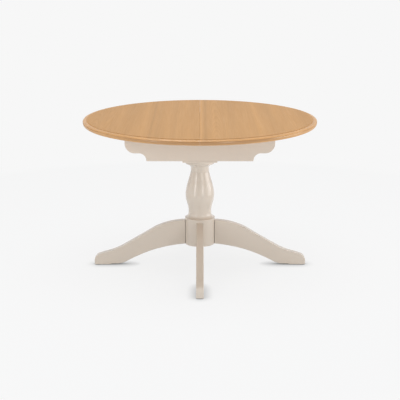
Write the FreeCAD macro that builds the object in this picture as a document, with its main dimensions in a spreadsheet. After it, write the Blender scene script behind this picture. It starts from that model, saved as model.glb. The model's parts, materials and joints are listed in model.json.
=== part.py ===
import FreeCAD, Part
import math
import os
from types import SimpleNamespace

import Sketcher

# A round extending dining table on a turned pedestal with four curved legs.
# Millimetres. +Z is up, the front looks towards -Y, and the seam of the top runs along Y.
# The origin is on the floor under the middle of the column.

os.makedirs("parts", exist_ok=True)
doc = FreeCAD.newDocument("ExtendingTable")
sheet = doc.addObject("Spreadsheet::Sheet", "Sizes")

# The driving dimensions: alias in the sheet, value and what it measures.
DRIVING = (
    ("table_height", 760, "floor to the top surface"),
    ("top_diameter", 1158, "closed top, across"),
    ("top_thickness", 26, "oak boards of halves and leaf"),
    ("seam_gap", 0.5, "between the closed halves"),
    ("seam_bevel", 0.6, "eased edge beside the seam"),
    ("mould_width", 20, "edge moulding, rim to step"),
    ("leaf_width", 380, "what the leaf adds to the length"),
    ("top_clearance", 0.5, "under the top, above the fixed frame"),
    ("running_gap", 0.3, "between sliding wood faces"),
    ("glue_gap", 0.05, "radial room for a glued pin or a screw"),
    ("overrun", 5, "how far a cut passes the solid"),
    ("frame_width", 624, "over the two aprons"),
    ("apron_beyond", 34, "apron beyond the end board"),
    ("apron_depth", 127, "apron at its middle"),
    ("apron_step", 38, "how much the apron's ends are shallower"),
    ("apron_corner", 46, "rounded lower corner of the apron"),
    ("apron_ledge", 20, "level edge between that corner and the cove"),
    ("apron_nib", 3, "rounded corner where the deep middle meets the cove"),
    ("apron_thickness", 22, "apron board"),
    ("apron_ease", 1.5, "eased edge on the apron's outer face"),
    ("track_width", 14, "track, out from the apron"),
    ("track_height", 12, "track, up and down"),
    ("track_inset", 10, "track end to apron end"),
    ("runner_width", 35, "runner, across"),
    ("runner_height", 50, "runner, up and down"),
    ("runner_inset", 5, "runner end to apron end"),
    ("runner_bevel", 18, "sloped end of a runner"),
    ("bridge_drop", 15.5, "top of the bridge below the halves"),
    ("bridge_thickness", 12, "board that carries the pinion"),
    ("bridge_width", 40, "the same board, along the table"),
    ("bridge_room", 2, "bridge to the runners' ends"),
    ("gear_module", 2.5, "tooth size of pinion and racks"),
    ("gear_teeth", 20, "teeth of the pinion"),
    ("pressure_angle", 20, "slope of the teeth, in degrees"),
    ("tooth_play", 0.4, "backlash between teeth"),
    ("rack_width", 17.5, "rack bar, teeth included"),
    ("rack_head_room", 1, "rack below the other half's underside"),
    ("rack_foot_room", 0.5, "rack above the bridge"),
    ("rack_foot_length", 150, "raised end that is screwed to its half"),
    ("rack_stop", 12, "blank end that stops at the pinion"),
    ("pinion_bore", 4, "radius of the pinion's pin"),
    ("pinion_play", 0.06, "radial room of the pinion on its pin"),
    ("pinion_cap", 9, "radius of the pin's head"),
    ("pinion_cap_height", 1.6, "the same head, up and down"),
    ("leaf_fold_gap", 1, "between the folded wings"),
    ("leaf_head_room", 3, "leaf below the bridge"),
    ("leaf_end_room", 4.2, "hinges of the folded leaf to the end board"),
    ("leaf_bearer_inset", 57.5, "middle of a leaf bearer from the leaf's end"),
    ("leaf_bearer_width", 40, "leaf bearer, along the table"),
    ("leaf_bearer_depth", 25, "leaf bearer, up and down"),
    ("guide_width", 16, "leaf guide, across"),
    ("guide_height", 18, "leaf guide, up and down"),
    ("guide_room", 2, "guide to the leaf"),
    ("guide_beyond", 52.5, "guide beyond the leaf at the open end"),
    ("end_board_thickness", 18, "board across the frame's closed end"),
    ("end_board_depth", 38, "the same board, up and down"),
    ("end_board_room", 2, "below the runners"),
    ("block_size", 25, "glue block, across"),
    ("block_height", 20, "glue block, up and down"),
    ("bearer_width", 165, "front-to-back bearer, across"),
    ("bearer_thickness", 34, "the same bearer, up and down"),
    ("bearer_lip", 7, "its end under the aprons"),
    ("dowel_radius", 4, "seam and leaf dowels"),
    ("dowel_out", 12, "how far a dowel stands out"),
    ("dowel_in", 22, "how deep a dowel is glued"),
    ("dowel_play", 0.3, "radial room of a dowel in its socket"),
    ("column_radius", 72.5, "column at its collar"),
    ("spigot_radius", 20, "tenon under the column"),
    ("spigot_length", 15, "the same tenon"),
    ("post_dowel_radius", 5, "locating dowels of the column"),
    ("post_dowel_ring", 48, "their distance from the middle"),
    ("post_dowel_in", 20, "their depth in each piece"),
    ("hub_radius", 75.5, "hub, turned"),
    ("hub_height", 138, "hub, up and down"),
    ("hub_clearance", 113, "hub above the floor"),
    ("hub_flat", 0.4, "depth of the flat on the hub that a leg's end sits on"),
    ("hub_cavity", 72, "square pocket in the hub"),
    ("hub_roof", 28, "wood left above the pocket"),
    ("cover_radius", 56, "round cover under the hub"),
    ("cover_thickness", 5, "the same cover"),
    ("cover_room", 0.5, "radial room of the cover"),
    ("cover_screw_ring", 46, "its screws from the middle"),
    ("leg_thickness", 36, "leg board"),
    ("leg_ease", 2.5, "rounded edge of a leg"),
    ("leg_rise", 236, "leg's top at the hub, above the floor"),
    ("leg_seat", 123, "leg at the hub, up and down"),
    ("foot_radius", 539, "toe from the middle of the column"),
    ("glide_radius", 17, "glide under a toe"),
    ("glide_thickness", 3, "the same glide"),
    ("glide_pin_radius", 2, "its pin"),
    ("glide_pin_length", 12, "the same pin"),
    ("glide_inset", 20, "its middle from the toe's end"),
    ("tie_radius", 6, "rod through column and hub"),
    ("tie_play", 0.5, "radial room of the rod"),
    ("tie_end", 5, "rod beyond its nut"),
    ("tie_nut", 11, "corner radius of its nut"),
    ("tie_nut_height", 10, "the same nut"),
    ("tie_washer", 16, "radius of its washer"),
    ("tie_washer_thickness", 2, "the same washer"),
    ("bolt_radius", 4, "hanger bolts of the legs"),
    ("bolt_play", 0.2, "radial room of a bolt in the hub"),
    ("bolt_spread", 50, "between a leg's two bolts"),
    ("bolt_in", 60, "bolt inside the leg"),
    ("bolt_end", 3, "bolt beyond its nut"),
    ("bolt_nut", 7.5, "corner radius of its nut"),
    ("bolt_nut_height", 6.5, "the same nut"),
    ("bolt_washer", 9, "radius of its washer"),
    ("bolt_washer_thickness", 1.6, "the same washer"),
    ("lock_pivot", 26, "lock's pivot from the seam"),
    ("lock_swing", 50, "pivot to keeper stud"),
    ("lock_plate_thickness", 2, "lock and keeper plates"),
    ("lock_plate_length", 46, "the same plates, along Y"),
    ("lock_plate_width", 24, "the same plates, along X"),
    ("lever_thickness", 3, "lever of a lock"),
    ("lever_width", 12, "its arm"),
    ("lever_eye", 11, "radius around its pivot"),
    ("lever_handle", 34, "its finger end from the pivot"),
    ("stud_radius", 3, "pivot and keeper studs"),
    ("stud_play", 0.06, "radial room of the lever on its pivot"),
    ("stud_head", 6, "radius of a stud's head"),
    ("stud_head_height", 1.5, "the same head"),
    ("hinge_barrel", 4, "radius of a hinge's barrel"),
    ("hinge_pin", 2, "radius of its pin"),
    ("hinge_pin_play", 0.05, "radial room of the pin"),
    ("hinge_length", 60, "hinge along the fold"),
    ("hinge_plate", 1.6, "thickness of a hinge plate"),
    ("hinge_plate_reach", 30, "hinge plate on the wing"),
    ("hinge_spread", 120, "middle of a hinge from the centre"),
    ("screw_shank", 2.2, "radius of a wood screw"),
    ("screw_head", 4.4, "radius of its countersunk head"),
    ("screw_head_height", 2.6, "the same head"),
    ("small_shank", 1.3, "radius of a hardware screw"),
    ("small_head", 2.6, "radius of its head"),
    ("small_head_height", 1.2, "the same head"),
    ("long_screw", 42, "through the web of a runner into the top"),
    ("rack_screw", 26, "through a rack's foot into the top"),
    ("frame_screw", 30, "through a board of the frame"),
    ("track_screw", 28, "through a track into the apron"),
    ("bridge_screw", 20, "through the bridge into a track"),
    ("block_screw", 34, "through a glue block"),
    ("hardware_screw", 12, "through plates, hinges and covers"),
)

# The outline of the top's edge, as shares of the moulding's width in from the rim
# and of the board's thickness down from the show face.
step_share = (1, 0.06)
bead_shoulder_share = (0.42, 0.085)
bead_crown_share = (0.14, 0.165)
bead_nose_share = (0, 0.30)
bead_under_share = (0.015, 0.325)
quirk_top_share = (0.07, 0.345)
quirk_bottom_share = (0.07, 0.375)
face_top_share = (0.008, 0.39)
face_middle_share = (0, 0.50)
face_bottom_share = (0.012, 0.62)
lower_round_share = (0.11, 0.85)
edge_foot_share = (0.38, 1)

# The turned column from its top down, as shares of the collar's radius and of the
# column's height. Names say where each turn of the profile lies.
collar_foot_share = (1, 0.803)
cove_middle_share = (0.730, 0.778)
neck_top_share = (0.628, 0.740)
neck_foot_share = (0.628, 0.683)
vase_shoulder_share = (0.690, 0.634)
vase_upper_share = (0.776, 0.565)
vase_full_share = (0.928, 0.453)
vase_belly_share = (0.999, 0.353)
vase_lower_share = (0.977, 0.282)
vase_foot_share = (0.883, 0.206)
waist_sweep_share = (0.817, 0.151)
waist_top_share = (0.792, 0.112)
waist_foot_share = (0.792, 0.066)
flare_middle_share = (0.845, 0.030)

# A leg's outline from its seat on the hub outwards, as shares of the leg's reach
# and of its rise. The upper line comes first, then the toe, then the underside.
back_middle_share = (0.171, 0.955)
back_end_share = (0.332, 0.839)
slope_middle_share = (0.530, 0.606)
slope_end_share = (0.655, 0.464)
instep_middle_share = (0.774, 0.346)
instep_end_share = (0.889, 0.276)
toe_start_share = (0.945, 0.238)
toe_nose_share = (0.985, 0.188)
toe_front_share = (1, 0.105)
pad_back_share = 0.825
sole_start_share = (0.812, 0.024)
sole_end_share = (0.760, 0.026)
arch_low_share = (0.702, 0.040)
arch_end_share = (0.638, 0.091)
arch_middle_share = (0.520, 0.208)
arch_start_share = (0.363, 0.333)
thigh_middle_share = (0.180, 0.428)

# Where repeated fixings stand, as shares of the length that they share out.
seam_dowel_shares = (-0.72, -0.24, 0.24, 0.72)
runner_screw_shares = (0.14, 0.5, 0.86)
track_screw_shares = (-0.42, -0.15, 0.15, 0.42)
rack_screw_shares = (0.2, 0.8)
knuckle_shares = (0.32, 0.68)
hinge_screw_share = 0.3
bridge_screw_share = 0.25
lock_share = 0.45
bearer_screw_share = 0.33

# How far a tooth's foot lies inside the pitch line, as a share of the module.
tooth_foot_share = 1.25


class Size:
    """A length, kept as a number and as the expression that ties it to the sheet."""

    def __init__(self, text, number):
        self.text = text
        self.number = number

    def __add__(self, other):
        other = as_size(other)
        return Size(f"({self.text} + {other.text})", self.number + other.number)

    def __sub__(self, other):
        other = as_size(other)
        return Size(f"({self.text} - {other.text})", self.number - other.number)

    def __mul__(self, other):
        other = as_size(other)
        return Size(f"({self.text} * {other.text})", self.number * other.number)

    def __truediv__(self, other):
        other = as_size(other)
        return Size(f"({self.text} / {other.text})", self.number / other.number)

    def __neg__(self):
        return Size(f"(0 - {self.text})", -self.number)

    __rmul__ = __mul__


def as_size(value):
    """A plain number, such as a share, a sign or zero, in the same form as a length."""
    if isinstance(value, Size):
        return value
    return Size(repr(float(value)), float(value))


def fill_sheet():
    """Write the driving dimensions to the sheet and return them by name."""
    by_name = {}
    for row, (alias, number, note) in enumerate(DRIVING, start=1):
        sheet.set(f"A{row}", note)
        sheet.set(f"B{row}", str(number))
        sheet.setAlias(f"B{row}", alias)
        by_name[alias] = Size(f"Sizes.{alias}", float(number))
    doc.recompute()
    return SimpleNamespace(**by_name)


S = fill_sheet()
ZERO = as_size(0)
nodes = {}

# Ways to turn something that is made along +Z.
TURNS = {
    "up": FreeCAD.Rotation(FreeCAD.Vector(0, 0, 1), 0),
    "down": FreeCAD.Rotation(FreeCAD.Vector(1, 0, 0), 180),
    "right": FreeCAD.Rotation(FreeCAD.Vector(0, 1, 0), 90),
    "left": FreeCAD.Rotation(FreeCAD.Vector(0, 1, 0), -90),
    "back": FreeCAD.Rotation(FreeCAD.Vector(1, 0, 0), -90),
    "front": FreeCAD.Rotation(FreeCAD.Vector(1, 0, 0), 90),
}
STEPS = {
    "up": (0, 0, 1),
    "down": (0, 0, -1),
    "right": (1, 0, 0),
    "left": (-1, 0, 0),
    "back": (0, 1, 0),
    "front": (0, -1, 0),
}


def place(item, at, direction="up"):
    """Put an item's own origin at a point, with its +Z turned to the direction."""
    item.Placement = FreeCAD.Placement(FreeCAD.Vector(), TURNS[direction])
    for axis, size in zip("xyz", at):
        item.setExpression(f"Placement.Base.{axis}", as_size(size).text)


def along(at, direction, distance):
    """The point a distance away from another, in a direction."""
    return tuple(as_size(size) + distance * step for size, step in zip(at, STEPS[direction]))


def box(x_span, y_span, z_span):
    """A block between pairs of coordinates, given in either order."""
    item = doc.addObject("Part::Box", "block")
    corner = []
    for prop, span in zip(("Length", "Width", "Height"), (x_span, y_span, z_span)):
        low, high = sorted((as_size(end) for end in span), key=lambda end: end.number)
        item.setExpression(prop, (high - low).text)
        corner.append(low)
    place(item, corner)
    return item


def cylinder(radius, length, at, direction="up"):
    """A round bar that starts at a point and runs in a direction."""
    item = doc.addObject("Part::Cylinder", "round")
    item.setExpression("Radius", as_size(radius).text)
    item.setExpression("Height", as_size(length).text)
    place(item, at, direction)
    return item


def cone(start_radius, end_radius, length, at, direction="up"):
    """A cone that starts at a point and runs in a direction."""
    item = doc.addObject("Part::Cone", "taper")
    item.setExpression("Radius1", as_size(start_radius).text)
    item.setExpression("Radius2", as_size(end_radius).text)
    item.setExpression("Height", as_size(length).text)
    place(item, at, direction)
    return item


def hexagon(corner_radius, length, at, direction="up"):
    """A hexagonal bar, for nuts."""
    item = doc.addObject("Part::Prism", "hexagon")
    item.Polygon = 6
    item.setExpression("Circumradius", as_size(corner_radius).text)
    item.setExpression("Height", as_size(length).text)
    place(item, at, direction)
    return item


def joined(items):
    """One solid made of several that touch or overlap."""
    item = doc.addObject("Part::MultiFuse", "joined")
    item.Shapes = items
    item.Refine = True
    return item


def group(items):
    """Several separate solids kept together."""
    item = doc.addObject("Part::Compound", "group")
    item.Links = items
    return item


def cut(base, cutters):
    """A solid less what the cutters take out of it."""
    item = doc.addObject("Part::Cut", "cut")
    item.Base = base
    item.Tool = group(cutters)
    item.Refine = True
    return item


def node(name, item):
    """Name a finished piece and keep it for export."""
    item.Label = name
    nodes[name] = item
    return item


def circle_through(first, middle, last):
    """Centre, radius and sense of the arc through three points."""
    (ax, ay), (bx, by), (cx, cy) = first, middle, last
    twice = 2 * (ax * (by - cy) + bx * (cy - ay) + cx * (ay - by))
    a_square = ax * ax + ay * ay
    b_square = bx * bx + by * by
    c_square = cx * cx + cy * cy
    mid_x = (a_square * (by - cy) + b_square * (cy - ay) + c_square * (ay - by)) / twice
    mid_y = (a_square * (cx - bx) + b_square * (ax - cx) + c_square * (bx - ax)) / twice
    turns_left = (bx - ax) * (cy - ay) - (by - ay) * (cx - ax) > 0
    return mid_x, mid_y, math.hypot(ax - mid_x, ay - mid_y), turns_left


def pin_point(sketch, curve, end, point):
    """Tie one point of a sketch to its two coordinates."""
    for kind, axis, size in (("DistanceX", -2, point[0]), ("DistanceY", -1, point[1])):
        if size is ZERO:
            sketch.addConstraint(Sketcher.Constraint("PointOnObject", curve, end, axis))
        else:
            number = sketch.addConstraint(Sketcher.Constraint(kind, -1, 1, curve, end, size.number))
            sketch.setExpression(f"Constraints[{number}]", size.text)


def outline(body, role, start, steps):
    """A closed sketch on one of the body's planes.

    Each step is a point to draw a line to, or two points: one that an arc passes
    through and the one where it ends.
    """
    sketch = body.newObject("Sketcher::SketchObject", "outline")
    plane = next(item for item in body.Origin.OriginFeatures if item.Role == role)
    sketch.AttachmentSupport = [(plane, "")]
    sketch.MapMode = "FlatFace"
    here = start
    corners = []
    for step in steps:
        target = step[-1] if isinstance(step[0], tuple) else step
        first = (here[0].number, here[1].number)
        last = (target[0].number, target[1].number)
        if target is step:
            line = Part.LineSegment(FreeCAD.Vector(*first, 0), FreeCAD.Vector(*last, 0))
            corners.append((sketch.addGeometry(line, False), 1, 2, here))
        else:
            via = step[0]
            middle = (via[0].number, via[1].number)
            mid_x, mid_y, radius, turns_left = circle_through(first, middle, last)
            ends = [math.atan2(y - mid_y, x - mid_x) for x, y in (first, last)]
            if not turns_left:
                ends.reverse()
            if ends[1] < ends[0]:
                ends[1] += 2 * math.pi
            circle = Part.Circle(FreeCAD.Vector(mid_x, mid_y, 0), FreeCAD.Vector(0, 0, 1), radius)
            curve = sketch.addGeometry(Part.ArcOfCircle(circle, *ends), False)
            corners.append((curve, 1, 2, here) if turns_left else (curve, 2, 1, here))
            mark = sketch.addGeometry(Part.Point(FreeCAD.Vector(*middle, 0)), True)
            pin_point(sketch, mark, 1, via)
            sketch.addConstraint(Sketcher.Constraint("PointOnObject", mark, 1, curve))
        here = target
    for corner, following in zip(corners, corners[1:] + corners[:1]):
        sketch.addConstraint(
            Sketcher.Constraint("Coincident", corner[0], corner[2], following[0], following[1])
        )
    for curve, end, _, point in corners:
        pin_point(sketch, curve, end, point)
    return sketch


def new_body(name):
    """An empty body for sketched features."""
    return doc.addObject("PartDesign::Body", name)


def padded(name, role, start, steps, thickness, midplane=False):
    """A body with one outline, given a thickness along its plane's normal."""
    body = new_body(name)
    pad = body.newObject("PartDesign::Pad", "pad")
    pad.Profile = outline(body, role, start, steps)
    pad.Midplane = midplane
    pad.setExpression("Length", thickness.text)
    return body


def turned(name, start, steps):
    """A body with one outline in the XZ plane, turned about Z."""
    body = new_body(name)
    profile = outline(body, "XZ_Plane", start, steps)
    turn = body.newObject("PartDesign::Revolution", "turn")
    turn.Profile = profile
    turn.ReferenceAxis = (profile, ["V_Axis"])
    turn.Angle = 360
    return body


def eased(body, radius, wanted):
    """Round the edges of a body's last feature that a test picks."""
    doc.recompute()
    base = body.Tip
    picked = [f"Edge{i}" for i, edge in enumerate(base.Shape.Edges, start=1) if wanted(edge)]
    fillet = body.newObject("PartDesign::Fillet", "ease")
    fillet.Base = (base, picked)
    fillet.setExpression("Radius", radius.text)
    return fillet


def screw_form(at, direction, length, small, room):
    """Shank and countersunk head of a screw, or of its hole where there is room."""
    shank = S.small_shank if small else S.screw_shank
    head = S.small_head if small else S.screw_head
    head_height = S.small_head_height if small else S.screw_head_height
    return [
        cone(head + room, shank + room, head_height, at, direction),
        cylinder(shank + room, length + room, at, direction),
    ]


def screw(at, direction, length, small=False):
    """A countersunk screw whose head is level with the point that it starts at."""
    return joined(screw_form(at, direction, length, small, ZERO))


def screw_hole(at, direction, length, small=False):
    """The hole for the same screw."""
    return screw_form(at, direction, length, small, S.glue_gap)


def pilot(at, direction, length, small=False):
    """The plain hole that the same screw needs in what lies under its first piece."""
    shank = S.small_shank if small else S.screw_shank
    return cylinder(shank + S.glue_gap, length + S.glue_gap, at, direction)


def share_point(share, x_size, z_size, x_start=ZERO, z_start=ZERO):
    """A point of an outline from its shares of two sizes."""
    return (x_start + x_size * share[0], z_start + z_size * share[1])


# Heights that several sub-assemblies share, from the top down.
underside = S.table_height - S.top_thickness
top_radius = S.top_diameter / 2
travel = S.leaf_width / 2
bridge_top = underside - S.bridge_drop
track_top = bridge_top - S.bridge_thickness
track_bottom = track_top - S.track_height
runner_bottom = underside - S.runner_height
apron_top = underside - S.top_clearance
apron_bottom = apron_top - S.apron_depth
apron_end_bottom = apron_bottom + S.apron_step
leaf_top = track_top - S.leaf_head_room
leaf_stack = S.top_thickness * 2 + S.leaf_fold_gap
leaf_bottom = leaf_top - leaf_stack
fold_level = leaf_bottom + leaf_stack / 2
leaf_bearer_top = leaf_bottom - S.running_gap
leaf_bearer_bottom = leaf_bearer_top - S.leaf_bearer_depth
bearer_bottom = apron_bottom - S.bearer_lip
bearer_top = bearer_bottom + S.bearer_thickness
hub_top = S.hub_clearance + S.hub_height
hub_ceiling = hub_top - S.hub_roof

# Lengths across the table that several sub-assemblies share.
frame_half = S.frame_width / 2
inner_face = frame_half - S.apron_thickness
leaf_half_length = top_radius / 2
bearer_spread = leaf_half_length - S.leaf_bearer_inset
end_board_place = leaf_half_length + S.hinge_barrel * 2 + S.running_gap + S.leaf_end_room
apron_half = end_board_place + S.end_board_thickness + S.apron_beyond
lock_place = frame_half + (top_radius - frame_half) * lock_share
runner_outer = apron_half - S.runner_inset
runner_inner = S.bridge_width / 2 + S.bridge_room
runner_length = runner_outer - runner_inner
leaf_half_width = S.leaf_width / 2
hub_seat = S.hub_radius - S.hub_flat


def moulding(rim, show, thickness, flip=1):
    """Steps up the moulded edge, from its foot to where the show face starts.

    rim is where the edge stands furthest out, show the level of the show face, and
    flip is -1 where the show face looks down.
    """
    def at(share):
        return (rim - S.mould_width * share[0], show - thickness * share[1] * flip)

    return [
        at(edge_foot_share),
        (at(lower_round_share), at(face_bottom_share)),
        (at(face_middle_share), at(face_top_share)),
        at(quirk_bottom_share),
        at(quirk_top_share),
        (at(bead_under_share), at(bead_nose_share)),
        (at(bead_crown_share), at(bead_shoulder_share)),
        at(step_share),
        (rim - S.mould_width, show),
    ]


def top_half(name, side, dowel_room, dowel_depth, screw_holes):
    """A half disc of oak with the moulded edge, a bevelled seam and its dowel holes."""
    steps = moulding(top_radius, S.table_height, S.top_thickness)
    body = turned(name + "_disc", (ZERO, underside), steps + [(ZERO, S.table_height), (ZERO, underside)])
    beyond = top_radius + S.overrun
    seam = S.seam_gap / 2
    bevel_out = seam + S.seam_bevel + S.overrun
    below = underside - S.overrun
    above = S.table_height + S.overrun
    start = (beyond * -side, below)
    waste = [
        (seam * side, below),
        (seam * side, S.table_height - S.seam_bevel),
        (bevel_out * side, above),
        (beyond * -side, above),
        start,
    ]
    trim = body.newObject("PartDesign::Pocket", "seam")
    trim.Profile = outline(body, "XZ_Plane", start, waste)
    trim.Midplane = True
    trim.setExpression("Length", (S.top_diameter + S.overrun * 2).text)
    middle = S.table_height - S.top_thickness / 2
    direction = "right" if side > 0 else "left"
    radius = S.dowel_radius + dowel_room
    cutters = [
        cylinder(radius, dowel_depth, (seam * side, top_radius * share, middle), direction)
        for share in seam_dowel_shares
    ]
    return node(name, cut(body, cutters + screw_holes))


def runner(name, side, face):
    """A beam screwed under a half top, with the groove that slides on a track."""
    # The beam is padded from its back face towards -Y.
    outer = inner_face - S.running_gap
    back_face = outer if face > 0 else -(outer - S.runner_width)
    start = (runner_inner * side, runner_bottom)
    steps = [
        ((runner_outer - S.runner_bevel) * side, runner_bottom),
        (runner_outer * side, runner_bottom + S.runner_bevel),
        (runner_outer * side, underside),
        (runner_inner * side, underside),
        start,
    ]
    beam = padded(name + "_beam", "XZ_Plane", start, steps, S.runner_width)
    beam.setExpression("Placement.Base.y", back_face.text)
    groove = box(
        ((runner_inner - S.overrun) * side, (runner_outer + S.overrun) * side),
        ((inner_face + S.overrun) * face, (inner_face - S.track_width - S.running_gap) * face),
        (track_bottom - S.running_gap, track_top + S.running_gap),
    )
    cutters = [groove]
    screws = []
    top_holes = []
    counterbore = runner_bottom + S.runner_height - (S.long_screw - S.top_thickness / 2)
    web_middle = inner_face - (S.track_width + S.runner_width) / 2
    for share in runner_screw_shares:
        foot = ((runner_inner + runner_length * share) * side, web_middle * face, counterbore)
        screws.append(screw(foot, "up", S.long_screw))
        cutters += screw_hole(foot, "up", S.long_screw)
        access = counterbore - runner_bottom + S.overrun
        cutters.append(cylinder(S.screw_head + S.glue_gap, access, foot, "down"))
        top_holes.append(pilot(foot, "up", S.long_screw))
    node(name, cut(beam, cutters))
    return screws, top_holes


def rack_outline(pitch, pitch_line, rack_root, rack_tip, first, last):
    """Points of a rack's toothed side, from its last tooth gap back to its first."""
    slope = math.tan(math.radians(S.pressure_angle.number))
    half_gap = (pitch + S.tooth_play.number) / 4
    half_gap_root = half_gap - (rack_root - pitch_line) * slope
    half_gap_tip = half_gap + (pitch_line - rack_tip) * slope
    points = []
    for gap in range(last, first - 1, -1):
        middle = gap * pitch
        points += [
            (middle + half_gap_tip, rack_tip),
            (middle + half_gap_root, rack_root),
            (middle - half_gap_root, rack_root),
            (middle - half_gap_tip, rack_tip),
        ]
    return points


def rack(name, side, pitch_radius):
    """A toothed bar screwed under one half, whose blank end stops it at the pinion.

    The bar is made for the left half, and turned half round for the right one.
    """
    module = S.gear_module.number
    pitch = math.pi * module
    tip = pitch_radius.number - module
    root = pitch_radius.number + module * tooth_foot_share
    outside = tip + S.rack_width.number
    outer_radius = pitch_radius.number + module
    reach = math.sqrt(outer_radius ** 2 - tip ** 2)
    first = -math.ceil(reach / pitch)
    last = math.ceil((travel.number + reach) / pitch)
    blank = last * pitch + pitch / 2 + S.rack_stop.number
    foot_end = (first - 1) * pitch
    foot_start = foot_end - S.rack_foot_length.number
    corners = [(foot_start, tip), (foot_start, outside), (blank, outside), (blank, tip)]
    corners += rack_outline(pitch, pitch_radius.number, root, tip, first, last)
    low = (bridge_top + S.rack_foot_room).number
    high = (underside - S.rack_head_room).number
    points = [FreeCAD.Vector(x, y, low) for x, y in corners]
    bar = Part.Face(Part.makePolygon(points + points[:1])).extrude(FreeCAD.Vector(0, 0, high - low))
    raised = Part.makeBox(
        foot_end - foot_start, outside - tip, underside.number - low,
        FreeCAD.Vector(foot_start, tip, low),
    )
    toothed = doc.addObject("Part::Feature", name + "_bar")
    toothed.Shape = bar.fuse(raised).removeSplitter()
    screws = []
    bar_holes = []
    top_holes = []
    for share in rack_screw_shares:
        x = as_size(foot_start) + S.rack_foot_length * share
        foot = (x, pitch_radius + S.rack_width / 2 - S.gear_module, bridge_top + S.rack_foot_room)
        bar_holes += screw_hole(foot, "up", S.rack_screw)
        spot = (x * -side, foot[1] * -side, foot[2])
        screws.append(screw(spot, "up", S.rack_screw))
        top_holes.append(pilot(spot, "up", S.rack_screw))
    bar = node(name, cut(toothed, bar_holes))
    if side > 0:
        bar.Placement = FreeCAD.Placement(FreeCAD.Vector(), FreeCAD.Rotation(FreeCAD.Vector(0, 0, 1), 180))
    node(name + "_screws", group(screws))
    return top_holes


def pinion(pitch_radius, gear_bottom, gear_top):
    """The gear between the racks. Its flanks are involutes, worked out by formula."""
    module = S.gear_module.number
    teeth = int(S.gear_teeth.number)
    radius = pitch_radius.number
    pressure = math.radians(S.pressure_angle.number)
    base = radius * math.cos(pressure)
    outer = radius + module
    root = radius - module * tooth_foot_share
    half_tooth = (math.pi * module / 2 - S.tooth_play.number / 2) / (2 * radius)
    offset = half_tooth + math.tan(pressure) - pressure

    def flank_point(distance, middle, hand):
        angle = math.acos(base / distance)
        turn = middle + hand * (offset - (math.tan(angle) - angle))
        return FreeCAD.Vector(distance * math.cos(turn), distance * math.sin(turn), 0)

    def at(distance, turn):
        return FreeCAD.Vector(distance * math.cos(turn), distance * math.sin(turn), 0)

    flank_shares = (0, 0.12, 0.4, 0.7, 1)
    distances = [base + (outer - base) * share for share in flank_shares]
    edges = []
    for tooth in range(teeth):
        middle = math.pi / 2 + 2 * math.pi * tooth / teeth
        following = middle + 2 * math.pi / teeth
        right = [flank_point(distance, middle, -1) for distance in distances]
        left = [flank_point(distance, middle, 1) for distance in reversed(distances)]
        foot_right = at(root, middle - offset)
        foot_left = at(root, middle + offset)
        foot_next = at(root, following - offset)
        for points in (right, left):
            curve = Part.BSplineCurve()
            curve.interpolate(points)
            edges.append(curve.toShape())
        edges.append(Part.LineSegment(foot_right, right[0]).toShape())
        edges.append(Part.Arc(right[-1], at(outer, middle), left[0]).toShape())
        edges.append(Part.LineSegment(left[-1], foot_left).toShape())
        edges.append(Part.Arc(foot_left, at(root, (middle + following) / 2), foot_next).toShape())
    wire = Part.Wire(Part.__sortEdges__(edges))
    height = (gear_top - gear_bottom).number
    blank = Part.Face(wire).extrude(FreeCAD.Vector(0, 0, height))
    blank.translate(FreeCAD.Vector(0, 0, gear_bottom.number))
    gear = doc.addObject("Part::Feature", "pinion_blank")
    gear.Shape = blank
    radius = S.pinion_bore + S.pinion_play
    start = bridge_top - S.overrun
    bore = cylinder(radius, S.bridge_drop + S.overrun, (ZERO, ZERO, start))
    node("pinion", cut(gear, [bore]))


def build_equaliser():
    """Bridge, pinion and racks. Returns the holes that the racks need in the halves."""
    pitch_radius = S.gear_module * S.gear_teeth / 2
    cap_bottom = apron_top - S.pinion_cap_height
    pinion(pitch_radius, bridge_top + S.running_gap, cap_bottom - S.running_gap)
    node("pinion_pin", joined([
        cylinder(S.pinion_bore, cap_bottom - track_top, (ZERO, ZERO, track_top)),
        cylinder(S.pinion_cap, S.pinion_cap_height, (ZERO, ZERO, cap_bottom)),
    ]))
    board = box((-S.bridge_width / 2, S.bridge_width / 2), (-inner_face, inner_face), (track_top, bridge_top))
    cutters = [cylinder(S.pinion_bore, S.bridge_drop * 2, (ZERO, ZERO, track_top - S.overrun))]
    screws = []
    track_holes = {-1: [], 1: []}
    for face in (-1, 1):
        for side in (-1, 1):
            x = S.bridge_width * bridge_screw_share * side
            head = (x, (inner_face - S.track_width / 2) * face, bridge_top)
            screws.append(screw(head, "down", S.bridge_screw))
            cutters += screw_hole(head, "down", S.bridge_screw)
            track_holes[face].append(pilot(head, "down", S.bridge_screw))
    node("bridge", cut(board, cutters))
    node("bridge_screws", group(screws))
    return track_holes, rack("rack_left", -1, pitch_radius), rack("rack_right", 1, pitch_radius)


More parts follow.
